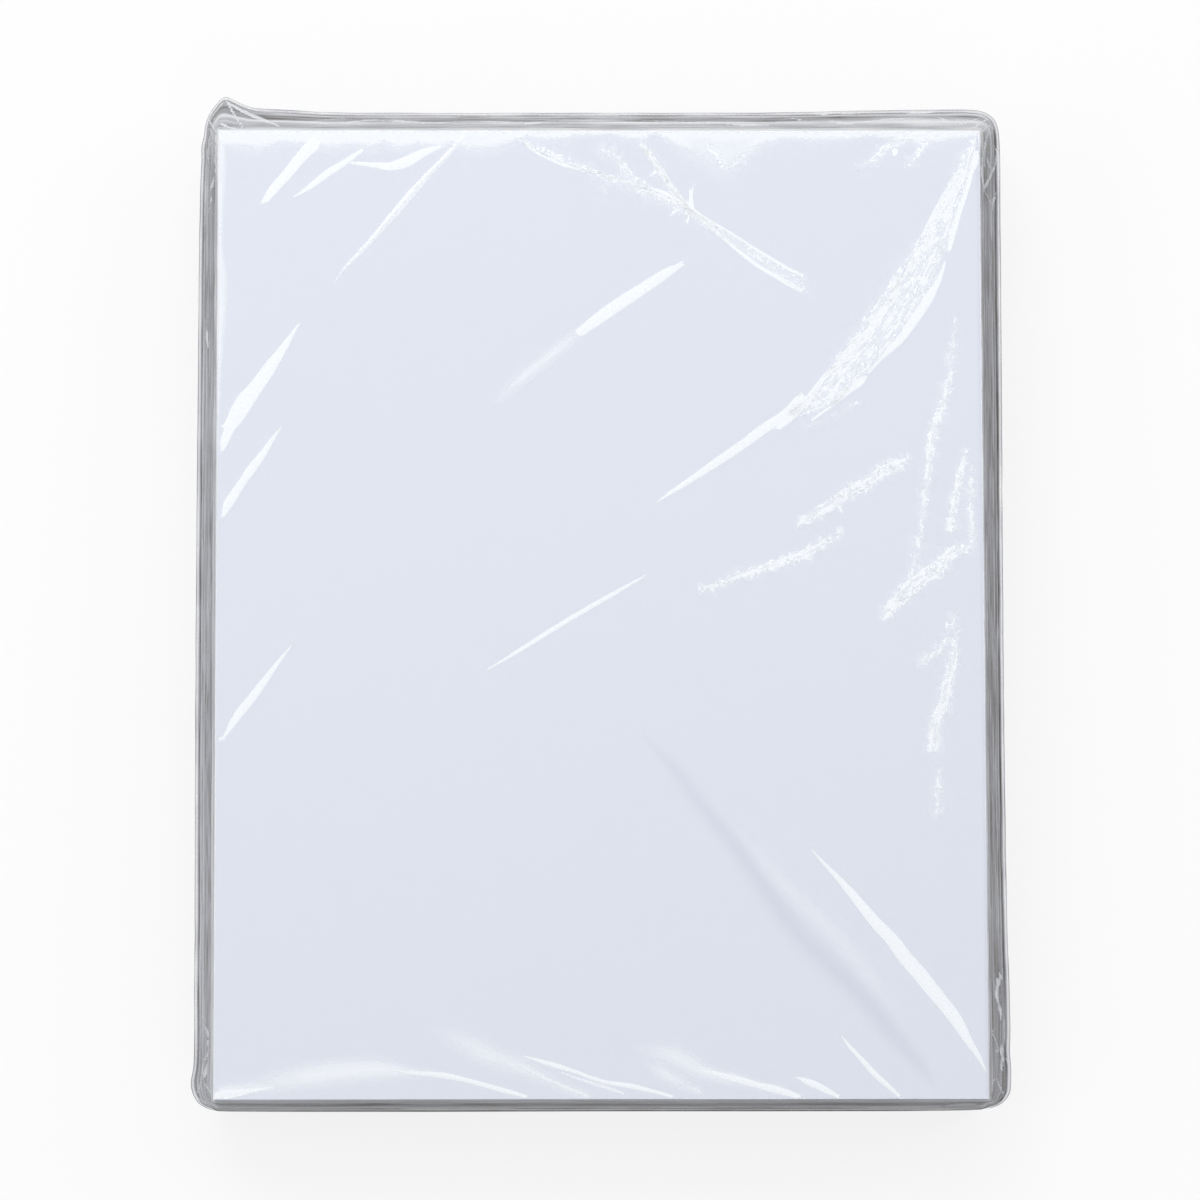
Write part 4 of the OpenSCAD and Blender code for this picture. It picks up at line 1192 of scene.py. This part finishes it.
@dataclass
class PaperStack:
    """The ream: sheets jogged square, whose edges step in and out by a hair."""

    ledge: float = 0.9
    step_out: float = 0.07
    groove: float = 0.06
    rim: float = 0.25
    run_step: float = 6.0
    cap_columns: int = 18
    cap_rows: int = 22
    seed: int = 11

    def ring(self) -> np.ndarray:
        """Lay places round the sheets' edge.

        Returns:
            The places, turning to the left.
        """
        across = np.linspace(-HALF_W, HALF_W, int(2 * HALF_W / self.run_step) + 1)[:-1]
        along = np.linspace(-HALF_L, HALF_L, int(2 * HALF_L / self.run_step) + 1)[:-1]
        return np.concatenate(
            [
                np.stack([np.full_like(along, HALF_W), along], 1),
                np.stack([-across, np.full_like(across, HALF_L)], 1),
                np.stack([np.full_like(along, -HALF_W), -along], 1),
                np.stack([across, np.full_like(across, -HALF_L)], 1),
            ]
        )

    def build(self) -> bpy.types.Object:
        """Make the stack's mesh from ledges of a few sheets each.

        Returns:
            The stack.
        """
        rng = np.random.default_rng(self.seed)
        shell = Shell()
        edge = self.ring()
        out = np.sign(edge) * (np.abs(np.abs(edge) - HALF) < 1e-6)
        ledges = int((STACK_HIGH - STACK_LOW) / self.ledge)
        heights = np.linspace(STACK_LOW, STACK_HIGH, ledges + 1)
        rings = []
        for low, high in zip(heights[:-1], heights[1:]):
            shift = rng.uniform(-1, 1, 2) * self.step_out * 0.5
            inset = rng.uniform(0, self.step_out)
            place = edge - inset * out + shift * (out != 0) * 0.5
            for z in (low + self.groove, high - self.groove):
                rings.append(shell.add_points(place, z))
        for low, high in zip(rings[:-1], rings[1:]):
            shell.bridge(low, high)
        inner = edge * (1 - self.rim / np.array(HALF))
        for z, ring, turn in ((STACK_LOW, rings[0], -1), (STACK_HIGH, rings[-1], 1)):
            face = shell.add_points(inner, z)
            pair = (ring, face) if turn > 0 else (face, ring)
            shell.bridge(*pair)
            self.cap(shell, inner, face, z, turn)
        return shell.build("paper_block", flat=lambda faces: np.ones(len(faces), bool))

    def cap(
        self, shell: Shell, edge: np.ndarray, ring: np.ndarray, z: float, turn: int
    ) -> None:
        """Close the stack's top or bottom with one face sheet.

        Args:
            shell: the mesh in the making.
            edge: places round the sheet.
            ring: their indices in the mesh.
            z: the sheet's height.
            turn: 1 for the top and -1 for the bottom.
        """
        xs = np.linspace(-HALF_W, HALF_W, self.cap_columns)[1:-1]
        ys = np.linspace(-HALF_L, HALF_L, self.cap_rows)[1:-1]
        inside = np.array([(x, y) for x in xs for y in ys])
        spread_over(shell, edge, ring, inside, [], lambda places: (z, {}), turn)

    def dress(self, piece: bpy.types.Object) -> None:
        """Give the stack its finish and its place in the frame."""
        piece.data.materials.append(PaperFinish().build())
        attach(piece, "root")
        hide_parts("paper_stack")


@dataclass(frozen=True)
class Pleat:
    """One lengthwise line in the gathered film, at a share of the way to the seam, darkened or
    lightened with painted shade and lit with a painted highlight.
    """

    share: float
    width: float
    # how much the line darkens, with painted shade, or lightens the gathered film
    change: float
    # how strong its painted highlight is
    painted_highlight: float = 0.0


@dataclass(frozen=True)
class Side:
    """One side of the film: where it faces and how densely each half is gathered, which sets its
    grey of film layers and painted shade.
    """

    name: str
    # grey of the upper and lower half: gathered film and painted shade
    facing: tuple[float, float]
    gather_and_shade_level: float
    low_gather_and_shade: float
    pleats: tuple[Pleat, ...]


# Each side's grey is gathered film and painted shade; the front's lower half is darker with painted
# shade
SIDES = (
    Side("right", (1, 0), 0.655, 0.5, (
        Pleat(0.0, 0.03, 0.12), Pleat(0.11, 0.05, -0.3), Pleat(0.24, 0.06, 0.1),
        Pleat(0.45, 0.05, 0.0, 0.1), Pleat(0.6, 0.045, -0.26, 0.12), Pleat(0.7, 0.025, 0.12),
        Pleat(0.78, 0.025, -0.3, 0.25), Pleat(0.885, 0.04, 0.4), Pleat(1.0, 0.03, -0.35),
    )),
    Side("back", (0, 1), 0.45, 0.2, (
        Pleat(0.06, 0.05, -0.25), Pleat(0.22, 0.05, 0.08), Pleat(0.32, 0.03, -0.06),
        Pleat(0.47, 0.06, -0.4, 0.7), Pleat(0.66, 0.07, 0.3), Pleat(0.8, 0.045, 0.4),
        Pleat(0.89, 0.03, -0.25, 0.2), Pleat(0.98, 0.02, 0.4),
    )),
    Side("left", (-1, 0), 0.535, 0.34, (
        Pleat(0.09, 0.05, -0.36), Pleat(0.27, 0.06, 0.1), Pleat(0.43, 0.04, -0.06),
        Pleat(0.52, 0.03, 0.08), Pleat(0.64, 0.035, -0.28, 0.15), Pleat(0.73, 0.025, 0.06),
        Pleat(0.81, 0.035, -0.36, 0.35), Pleat(0.91, 0.035, 0.38), Pleat(1.0, 0.02, -0.1),
    )),
    Side("front", (0, -1), 0.61, 0.86, (
        Pleat(0.0, 0.1, -0.14), Pleat(0.3, 0.09, 0.16), Pleat(0.52, 0.1, -0.16),
        Pleat(0.8, 0.12, 0.16),
    )),
)

# How far the film that stands off the sheets, white with painted highlight, reaches in
# from the back edge: place across, and reach
BACK_BAND = (
    (-139.7, 5.2), (-129, 5.7), (-125, 6.8), (-120, 5), (-115, 4), (-104, 5.5), (-97, 6.1),
    (-90, 4.6), (-84, 6.2), (-79, 4.2), (-74, 6.4), (-66, 4.9), (-59, 6.2), (-54, 4.5),
    (-48, 6.8), (-41, 6.6), (-36, 5.4), (-31, 3.5), (-27, 1.9), (-19, 3), (-10, 2.2),
    (-4, 1.6), (3, 1.2), (11, 2.6), (16, 3.2), (20, 0.8), (24, 2.5), (30, 6), (38, 9.5),
    (46.5, 13.4), (49, 12), (54, 8.5), (58, 5.5), (62, 4.2), (68, 2.7), (78, 3.3),
    (90, 2.7), (100, 1.8), (106, 2.2), (112, 3.4), (118, 4.5), (124, 4), (131, 2.6),
    (139.7, 1.6),
)

# How far the film that stands off the sheets, with its painted highlight, reaches in
# from the left edge: place along, and reach
LEFT_BAND = (
    (-177.8, 0.8), (40, 0.8), (70.7, 0.9), (88.3, 1.4), (100, 2.3), (111.8, 3.4), (123.5, 3.5),
    (135, 1.6), (147, 1.9), (157, 2.4), (167, 2.9), (177.8, 2.4),
)


def reach_at(band: tuple[tuple[float, float], ...], place: float | np.ndarray) -> np.ndarray:
    """Read a band's reach at places along its edge."""
    return np.interp(place, *np.array(band).T)


def well_inside(places: np.ndarray, margin: float) -> np.ndarray:
    """Tell which places lie inside the sheets' edge by a margin."""
    return (np.abs(places) < np.array(HALF) - margin).all(-1)


@dataclass
class ShrinkFilm:
    """The film: one folded sheet, shrunk round the stack and welded on three sides.

    Lengths are in millimetres. A share is 0 at the sheets' edge and 1 at the seam.
    """

    # Rings of the bead: how far in from the seam, and height in half thicknesses
    BEAD = ((0.7, 1), (0.25, 0.8), (0, 0), (0.25, -0.8), (0.7, -1))

    # Slow waves over the sheets: turns across and along, and height
    BILLOWS = (
        (0.071, 0.043, 0.05), (-0.038, 0.097, 0.05), (0.11, -0.052, 0.035), (0.19, 0.16, 0.015),
    )

    # Where edges run along each kind of fold, in half widths
    BROKEN_LINES = (-1.0, 1.0)
    SOFT_LINES = (-1.6, -1.2, -0.8, -0.4, 0.0, 0.4, 0.8, 1.2, 1.6)
    LINES = {
        Fold.PULLED: (-1.05, -0.85, -0.5, -0.17, 0.17, 0.5, 0.85, 1.05),
        Fold.SWELL: SOFT_LINES,
        Fold.VALLEY: SOFT_LINES,
        Fold.CRUMPLED: BROKEN_LINES,
        Fold.GLINTS: BROKEN_LINES,
    }

    wide_step: float = 2.4
    corner_step: float = 0.8
    corner_reach: float = 38.0
    fine_step: float = 0.25
    smooth_span: int = 16
    smooth_width: float = 4.0
    rings: int = 28
    low_rings: int = 10
    low_columns: int = 20
    low_rows: int = 25
    rim: float = 0.35
    inner_rim: float = 0.1
    skin: float = 0.02
    most_top: float = 51.8
    most_dip: float = 0.2
    bead_w: float = 1.1
    bead_t: float = 0.9
    front_slim: float = 0.75
    pleat_drift: float = 0.022
    pleat_relief: float = 0.22
    fine_lines: int = 10
    line_width: float = 0.024
    line_relief: float = 0.25
    # grey of the fine dark lines, film and painted shade, and white of the painted highlight lines
    line_shade: float = 0.24
    line_highlight: float = 0.6
    grid: float = 3.5
    # white flecks on broken folds, painted glints, and their milky glow, partly painted highlight
    flecks: float = 0.47
    fleck_spread: float = 0.06
    crumple_soft: float = 0.42
    facet_level: float = 0.3
    widen: float = 0.25
    # painted highlight line round the left and back edges
    edge_highlight: float = 0.9
    line_margin: float = 0.4
    point_margin: float = 0.35
    seed: int = 7

    def __post_init__(self) -> None:
        """Lay the stations round the pack."""
        self.rng = np.random.default_rng(self.seed)
        self.over = CreaseField(TOP_CREASES, self.widen)
        self.beside = CreaseField(SIDE_CREASES)
        self.seam, self.run = self.stations()
        self.along = np.minimum(self.run, self.run[-1] - self.run)
        limit = np.array(HALF)
        self.foot = np.clip(self.seam, -limit, limit)
        away = self.seam - self.foot
        self.reach = np.hypot(away[:, 0], away[:, 1])
        self.out = away / self.reach[:, None]
        self.weights = [
            np.clip(self.out @ np.array(side.facing, float), 0, 1) ** 2 for side in SIDES
        ]
        _, self.back, self.left, self.front = self.weights
        self.slim = 1 - self.front_slim * self.front

    def stations(self) -> tuple[np.ndarray, np.ndarray]:
        """Place stations on the outline, closer together near the corners.

        Returns:
            Their places and their distances along the outline.
        """
        loop = np.array(OUTLINE + OUTLINE[:1])
        run = np.r_[0, np.cumsum(np.hypot(*np.diff(loop, axis=0).T))]
        at = np.linspace(0, run[-1], int(run[-1] / self.fine_step), endpoint=False)
        fine = np.stack([np.interp(at, run, loop[:, k]) for k in (0, 1)], 1)
        n = self.smooth_span
        kernel = np.exp(-0.5 * (np.arange(-n, n + 1) / self.smooth_width) ** 2)
        kernel /= kernel.sum()
        padded = np.concatenate([fine[-n:], fine, fine[:n]])
        fine = np.stack([np.convolve(padded[:, k], kernel, "valid") for k in (0, 1)], 1)
        gap = np.hypot(*(np.abs(fine) - HALF).T)
        share = smooth_step(0.7 * self.corner_reach, self.corner_reach, gap)
        step = self.corner_step + (self.wide_step - self.corner_step) * share
        count = np.r_[0, np.cumsum(self.fine_step / step)]
        whole = int(count[-1])
        picks = np.interp(np.arange(whole) * count[-1] / whole, count, np.r_[at, run[-1]])
        k = np.clip((picks / run[-1] * len(fine)).astype(int), 0, len(fine) - 1)
        return fine[k], picks

    def wave(self, size: float, pitch: float, seed: int) -> np.ndarray:
        """Give a smooth random wave round the pack, from -size to size."""
        return size * wander(self.run, pitch, self.seed + seed)

    def add_pleats(
        self, out: dict[str, np.ndarray], side: Side, weight: np.ndarray, share: float, upper: bool
    ) -> None:
        """Add one side's gathers and its lengthwise pleats, with their painted shade and painted
        highlights.

        Args:
            out: arrays of how far the film stands out, how gathered and shaded it is and its
                painted highlight.
            side: the side.
            weight: how much each station belongs to the side.
            share: how far down to the seam.
            upper: whether it is the pleated half over the seam or the plain one under it.
        """
        level = np.full(len(self.run), side.gather_and_shade_level if upper else side.low_gather_and_shade)
        for k, pleat in enumerate(side.pleats if upper else ()):
            seed = 10 * k + len(side.name)
            drift = self.wave(1, 46, seed) + self.wave(0.5, 17, seed + 2)
            strength = 0.8 + self.wave(0.5, 21, seed + 1)
            spread = pleat.width * (1 + self.wave(0.4, 11, seed + 3))
            gap = (share - pleat.share - self.pleat_drift * drift) / spread
            crest = strength * np.exp(-(gap**2))
            # painted shade darkens or lightens the film along each pleat
            level += pleat.change * crest
            # painted highlight along the pleat
            glow = np.clip(0.5 + self.wave(1, 19, seed + 4), 0, 1)
            out["painted_highlight"] = np.maximum(out["painted_highlight"], pleat.painted_highlight * glow * crest * weight)
            out["stand"] -= weight * np.sign(pleat.change) * crest * self.pleat_relief
        out["dense"] += weight * level

    def add_lines(self, out: dict[str, np.ndarray], share: float) -> None:
        """Add fine lines that wander through the gathers, by turns painted highlights and dark
        lines of gathered film with painted shade.

        Args:
            out: arrays of how far the film stands out, how gathered and shaded it is and its
                painted highlight.
            share: how far down to the seam.
        """
        for k in range(self.fine_lines):
            centre = 0.08 + 0.092 * k + self.wave(0.07, 37, 90 + k)
            strength = np.clip(self.wave(1.3, 13, 120 + k), 0, 1)
            crest = strength * np.exp(-(((share - centre) / self.line_width) ** 2))
            out["stand"] += self.line_relief * crest * (1 - self.front)
            # odd lines are darker, with painted shade; even lines are painted highlights
            if k % 2:
                out["dense"] += self.line_shade * crest * (1 - 0.6 * self.front)
            else:
                painted_highlight = self.line_highlight * crest * (1 - 0.8 * self.front)
                out["painted_highlight"] = np.maximum(out["painted_highlight"], painted_highlight)

    def gathers(self, share: float, upper: bool) -> dict[str, np.ndarray]:
        """Work out the film's gathers at one height.

        Args:
            share: how far down to the seam.
            upper: whether it is the pleated half over the seam or the plain one under it.

        Returns:
            Arrays of how far the film stands out, how gathered and shaded it is and its painted
            highlight.
        """
        out = {name: np.zeros(len(self.run)) for name in ("stand", "dense", "painted_highlight")}
        for side, weight in zip(SIDES, self.weights):
            self.add_pleats(out, side, weight, share, upper)
        # more painted shade where the film stands furthest out, at the corners
        out["dense"] += 0.1 * smooth_step(14.5, 18.0, self.reach)
        if upper:
            self.add_lines(out, share)
        return out

    def wall(self, shell: Shell, share: float, upper: bool) -> np.ndarray:
        """Add one ring of the film's side.

        Args:
            shell: the mesh in the making.
            share: how far down to the seam.
            upper: whether the ring is over the seam or under it.

        Returns:
            The ring's indices.
        """
        start = self.foot + self.rim * self.out
        end = self.seam - (self.bead_w * self.slim)[:, None] * self.out
        bow = share + self.front * (math.sin(share * math.pi / 2) - share)
        plan = start + (end - start) * bow[:, None]
        gathers = self.gathers(share, upper)
        marks = self.beside.shape(plan)
        fade = min(1.0, 6 * share) * min(1.0, 5 * (1 - share) + 0.2)
        room = 0.35 * (self.reach * share)
        stand = np.clip(gathers["stand"] * fade, -room, room)
        stand += marks["height"] * fade * (1 if upper else 0.3)
        crumple = marks["crumple"] if upper else np.zeros(len(plan))
        stand += crumple * self.rng.uniform(-0.3, 0.4, len(plan)) * fade
        plan = plan + stand[:, None] * self.out
        low = FILM_TOP - self.rim
        high = SEAM_Z + self.bead_t / 2
        z = low + (high - low) * share
        # grey of gathered film and painted shade, lighter towards the back right
        dense = np.clip(gathers["dense"], 0.02, 1) * smooth_step(-0.02, 0.05, share)
        open_end = np.exp(-(((plan[:, 0] - 122) / 26) ** 2)) * self.back
        dense *= 1 - 0.65 * open_end * math.exp(-(((share - 0.5) / 0.22) ** 2))
        # the white is milky film and painted highlight, and the soft white along the pleats a
        # painted highlight
        return shell.add_points(
            plan,
            z if upper else FILM_TOP - z,
            haze=np.maximum(marks["haze"], 0.9 * crumple) * upper,
            soft=gathers["painted_highlight"] * fade * upper,
            crumple=crumple,
            dense=dense,
            along=self.along,
            across=share if upper else 2 - share,
        )

    def bead(self, shell: Shell, inset: float, height: float) -> np.ndarray:
        """Add one ring of the welded bead.

        Args:
            shell: the mesh in the making.
            inset: how far the ring lies in from the seam.
            height: how high it lies over the bead's middle.

        Returns:
            The ring's indices.
        """
        plan = self.seam - (inset * self.slim)[:, None] * self.out
        plan = plan + (self.wave(0.06, 7, 300) * (1 - self.front))[:, None] * self.out
        # the bead's grey outline: film and painted shade
        dense = np.clip(0.5 - 0.1 * self.back + self.wave(0.15, 14, 301), 0, 1)
        z = SEAM_Z + height
        return shell.add_points(plan, z, dense=dense, along=self.along, across=1.0)

    def lines(self) -> list[np.ndarray]:
        """Lay the lines that the top's edges follow along each fold.

        Returns:
            Runs of places inside the sheets' edge.
        """
        ys = np.arange(-HALF_L + 1, HALF_L, 2.0)
        runs = [np.stack([np.full_like(ys, x), ys], 1) for x in (0.45 - HALF_W, HALF_W - 0.6)]
        for crease, path in zip(self.over.creases, self.over.paths):
            side = sideways(path)
            half = path[:, 2:3]
            broken = crease.fold.broken
            for share in self.LINES[crease.fold]:
                jitter = self.rng.uniform(-0.12, 0.12, (len(path), 1)) if broken else 0
                runs.append(path[:, :2] + side * half * (share + jitter))
            for turn in () if broken else (-1, 1):
                runs.append(path[:, :2] + side * (half * 1.1 + 0.5) * turn)
        kept = []
        for run in runs:
            crossings = np.diff(well_inside(run, self.line_margin).astype(int))
            for part in np.split(run, np.flatnonzero(crossings) + 1):
                if len(part) > 1 and well_inside(part[0], self.line_margin):
                    kept.append(part)
        return kept

    def even_places(self) -> np.ndarray:
        """Spread places evenly over the sheets, each a little out of line.

        Returns:
            The places.
        """
        nx, ny = int(2 * HALF_W / self.grid), int(2 * HALF_L / self.grid)
        xs, ys = np.meshgrid(
            np.linspace(-HALF_W, HALF_W, nx)[1:-1], np.linspace(-HALF_L, HALF_L, ny)[1:-1]
        )
        even = np.stack([xs.ravel(), ys.ravel()], 1)
        return even + self.rng.uniform(-0.8, 0.8, even.shape)

    def broken_places(self) -> list[np.ndarray]:
        """Scatter places in the broken folds, for their facets.

        Returns:
            Sets of places.
        """
        sets = []
        for crease, path in zip(self.over.creases, self.over.paths):
            if not crease.fold.broken:
                continue
            for place, turn, half in zip(path[:, :2], sideways(path), path[:, 2]):
                count = max(int(2 * half / 1.3), 1)
                off = self.rng.uniform(-0.9, 0.9, count) * half
                shift = self.rng.uniform(-0.5, 0.5, (count, 2))
                sets.append(place + off[:, None] * turn + shift)
        return sets

    def edge_places(self) -> list[np.ndarray]:
        """Lay places close together in the bands along the sheets' edges.

        Returns:
            Sets of places.
        """
        sets = []
        for x in np.arange(-HALF_W + 0.6, HALF_W - 0.5, 1.25):
            ys = HALF_L - np.arange(0.7, reach_at(BACK_BAND, x) + 1.5, 1.15)
            row = np.stack([np.full_like(ys, x), ys], 1)
            sets.append(row + self.rng.uniform(-0.3, 0.3, row.shape))
        for y in np.arange(-HALF_L + 1.5, HALF_L - 1.5, 1.8):
            if y > 40:
                xs = -HALF_W + np.array([0.3, 0.6, 0.9, 1.2]) * reach_at(LEFT_BAND, y)
                sets.append(np.stack([xs, np.full_like(xs, y)], 1))
            sets.append(np.array([[HALF_W - 0.7, y], [HALF_W - 1.6, y]]))
        for x in np.arange(-HALF_W + 2, HALF_W - 2, 2.2):
            sets.append(np.array([[x, -HALF_L + 0.8], [x + 0.6, -HALF_L + 2.1]]))
        return sets

    def scatter(self) -> np.ndarray:
        """Give the places of the top's points that lie on no line."""
        sets = [self.even_places(), *self.broken_places(), *self.edge_places()]
        places = np.concatenate(sets)
        return places[well_inside(places, self.point_margin)]

    def top_shape(self, places: np.ndarray) -> tuple[np.ndarray, dict[str, np.ndarray]]:
        """Work out the height and the paint of the film over the sheets.

        Args:
            places: places seen from above.

        Returns:
            Their heights over the floor and their named paints.
        """
        marks = self.over.shape(places)
        x, y = places.T
        # painted highlight where the film stands off the sheets along the back edge, and fainter
        # beyond
        reach = reach_at(BACK_BAND, x)
        depth = (HALF_L - y) / reach
        deep = smooth_step(5.5, 9.0, reach) * smooth_step(0.1, 0.45, depth)
        back_highlight = 0.8 * (1 - smooth_step(0.7, 1.15, depth)) * (1 - 0.35 * deep)
        back_soft_highlight = 0.35 * (1 - smooth_step(0.7, 1.7, depth))
        # painted highlight along the left edge, towards the back
        gap = (x + HALF_W) / reach_at(LEFT_BAND, y)
        beside = 0.55 * (1 - smooth_step(0.5, 1.2, gap)) * smooth_step(45, 95, y)
        crumple = marks["crumple"]
        # white flecks on the broken folds: painted glints
        spread = self.rng.uniform(-self.fleck_spread, self.fleck_spread, len(places))
        marks["haze"] = np.maximum(marks["haze"], (self.flecks + spread) * crumple)
        # milky glow over the broken folds, partly painted highlight
        glow = self.crumple_soft * np.minimum(crumple, 1)
        marks["soft"] = np.maximum.reduce([marks["soft"], glow, back_highlight, beside, back_soft_highlight])
        # painted shade along the right edge
        edge_dip_shade = 0.6 * (1 - smooth_step(0.2, 1.6, HALF_W - x))
        marks["hollow"] = np.maximum(marks["hollow"], edge_dip_shade)
        swell = sum(
            size * np.sin(fx * x + fy * y + 1.7 * k)
            for k, (fx, fy, size) in enumerate(self.BILLOWS)
        )
        hump = 0.25 * np.clip(1 - depth, 0, 1) * np.clip(4 * depth, 0, 1)
        ease = smooth_step(0.0, 2.5, np.minimum(HALF_W - np.abs(x), HALF_L - np.abs(y)))
        rough = crumple * self.rng.uniform(-0.25, 0.25, len(places))
        height = FILM_TOP + (marks.pop("height") * ease + swell * ease + hump) + rough
        return np.clip(height, FILM_TOP - self.most_dip, self.most_top), marks

    def flat_ring(self, shell: Shell, z: float) -> tuple[np.ndarray, np.ndarray]:
        """Add a ring just round the sheets' edge, with a painted highlight line on top.

        Args:
            shell: the mesh in the making.
            z: its height.

        Returns:
            Its indices and its places.
        """
        plan = self.foot + self.inner_rim * self.out
        # painted highlight line along the left and back edges
        line = (self.left * self.edge_highlight + self.back) * (0.85 + self.wave(0.15, 9, 400))
        return shell.add_points(plan, z, haze=line if z > SEAM_Z else 0.0), plan

    def build(self) -> bpy.types.Object:
        """Make the film's mesh and paint its folds, with their painted highlights and shade.

        Returns:
            The film.
        """
        shell = Shell()
        upper, top_edge = self.flat_ring(shell, FILM_TOP - self.skin)
        rings = [upper]
        rings.extend(self.wall(shell, s, True) for s in np.linspace(0, 1, self.rings))
        half = self.bead_t / 2
        rings.extend(self.bead(shell, inset, rise * half) for inset, rise in self.BEAD)
        rings.extend(self.wall(shell, s, False) for s in np.linspace(1, 0, self.low_rings))
        lower, low_edge = self.flat_ring(shell, self.skin)
        rings.append(lower)
        for high, low in zip(rings[:-1], rings[1:]):
            shell.bridge(low, high)
        spread_over(shell, top_edge, upper, self.scatter(), self.lines(), self.top_shape)
        xs = np.linspace(-130, 130, self.low_columns)
        ys = np.linspace(-168, 168, self.low_rows)
        grid = np.array([(x, y) for x in xs for y in ys])
        spread_over(shell, low_edge, lower, grid, [], lambda places: (self.skin, {}), -1)
        level = np.concatenate(shell.paint["crumple"])
        return shell.build("film", flat=lambda f: level[f].mean(1) > self.facet_level)

    def dress(self, piece: bpy.types.Object) -> None:
        """Give the film its finish and its place in the frame."""
        piece.data.materials.append(FilmFinish().build())
        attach(piece, "root")
        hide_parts("shrink_film")


@dataclass(frozen=True)
class Softbox:
    """One square lamp: where it hangs, how big it is and how bright its face is."""

    name: str
    azimuth: float
    elevation: float
    distance: float
    size: tuple[float, float]
    radiance: float

    def build(self) -> bpy.types.Object:
        """Hang the lamp so that it looks at the pack.

        Returns:
            The lamp.
        """
        light = bpy.data.lights.new(self.name, "AREA")
        light.shape = "RECTANGLE"
        light.size, light.size_y = self.size
        light.energy = self.radiance * math.pi * self.size[0] * self.size[1]
        lamp = bpy.data.objects.new(self.name, light)
        a, e = math.radians(self.azimuth), math.radians(self.elevation)
        away = Vector((math.cos(a) * math.cos(e), math.sin(a) * math.cos(e), math.sin(e)))
        lamp.location = away * self.distance
        lamp.rotation_euler = away.to_track_quat("Z", "Y").to_euler()
        bpy.context.scene.collection.objects.link(lamp)
        return lamp


@dataclass
class Studio:
    """Floor, soft light and camera, in metres."""

    floor_size: float = 9.0
    floor_marks: tuple[float, ...] = (-1, -0.3, -0.1, -0.05, 0.05, 0.1, 0.3, 1)
    floor_z: float = -0.05
    world_level: float = 0.53
    dome_radius: float = 40.0
    dome_turns: int = 32
    dome_rings: int = 17
    dome_lift: float = 88.0
    camera_place: tuple[float, float, float] = (-0.043835, -0.36582, 2.64165)
    camera_turn: tuple[float, float, float] = (0.14174, -0.016461, -0.0026464)
    lens: float = 215.86
    sensor: float = 36.0
    view_end: float = 100.0
    lamps: tuple[Softbox, ...] = (
        Softbox("key_softbox", 125, 52, 2.0, (0.9, 0.9), 3.4),
        Softbox("back_strip", 80, 36, 2.0, (1.5, 0.4), 4.1),
        Softbox("left_strip", 190, 40, 2.0, (1.2, 0.4), 3.3),
        Softbox("right_softbox", 20, 45, 2.0, (0.7, 0.7), 3.0),
        Softbox("front_softbox", 285, 48, 2.2, (0.6, 0.6), 2.4),
    )

    def floor(self) -> bpy.types.Object:
        """Lay the floor, floor_z millimetres high, with fine steps near the pack.

        Returns:
            The floor.
        """
        shell = Shell()
        marks = np.array(self.floor_marks) * self.floor_size / 2
        xs, ys = np.meshgrid(marks / MM, marks / MM)
        shell.add_points(np.stack([xs.ravel(), ys.ravel()], 1), self.floor_z)
        n = len(marks)
        for j in range(n - 1):
            for i in range(n - 1):
                a = j * n + i
                shell.add_faces([[a, a + 1, a + n + 1], [a, a + n + 1, a + n]])
        piece = shell.build("studio_floor")
        piece.data.materials.append(FloorFinish().build())
        return piece

    def world(self) -> None:
        """Light the pack evenly from all round."""
        world = bpy.data.worlds.new("studio")
        bpy.context.scene.world = world
        world.use_nodes = True
        world.node_tree.nodes.clear()
        wires = Wiring(world.node_tree)
        soft = wires.shader("Background", {"Color": WHITE, "Strength": self.world_level})
        wires.add("ShaderNodeOutputWorld", {"Surface": soft})

    def backdrop(self) -> bpy.types.Object:
        """Hang a wide white dome that only looks white and lights nothing.

        Returns:
            The dome.
        """
        shell = Shell()
        turns = np.linspace(0, 2 * math.pi, self.dome_turns + 1)[:-1]
        rings = []
        for lift_angle in np.radians(np.linspace(-self.dome_lift, self.dome_lift, self.dome_rings)):
            plan = np.stack([np.cos(turns), np.sin(turns)], 1) * np.cos(lift_angle)
            z = np.sin(lift_angle) * self.dome_radius / MM
            rings.append(shell.add_points(plan * self.dome_radius / MM, z))
        for low, high in zip(rings[:-1], rings[1:]):
            shell.bridge(high, low)
        piece = shell.build("studio_backdrop")
        material, wires = blank_material("white_backdrop")
        wires.surface(wires.glow())
        piece.data.materials.append(material)
        piece.visible_diffuse = False
        piece.visible_glossy = False
        piece.visible_shadow = False
        return piece

    def camera(self) -> bpy.types.Object:
        """Place the camera at the photograph's viewing angle.

        Returns:
            The camera.
        """
        lens = bpy.data.cameras.new("camera")
        lens.lens = self.lens
        lens.sensor_width = self.sensor
        lens.clip_end = self.view_end
        camera = bpy.data.objects.new("camera", lens)
        camera.location = self.camera_place
        camera.rotation_euler = Euler(self.camera_turn, "XYZ")
        bpy.context.scene.collection.objects.link(camera)
        bpy.context.scene.camera = camera
        return camera

    def build(self) -> None:
        """Set up the whole studio."""
        self.camera()
        self.floor()
        self.backdrop()
        self.world()
        for lamp in self.lamps:
            lamp.build()
        bpy.context.scene.view_settings.view_transform = "Standard"


def main() -> None:
    """Build the pack and the studio, and log the faces of both meshes."""
    logging.basicConfig(level=logging.INFO, format="%(name)s: %(message)s")
    Studio().build()
    LOG.info("studio is set up")
    stack = PaperStack()
    block = stack.build()
    stack.dress(block)
    LOG.info("%s has %d faces", block.name, len(block.data.polygons))
    film = ShrinkFilm()
    wrap = film.build()
    film.dress(wrap)
    LOG.info("%s has %d faces", wrap.name, len(wrap.data.polygons))


if __name__ == "__main__":
    main()
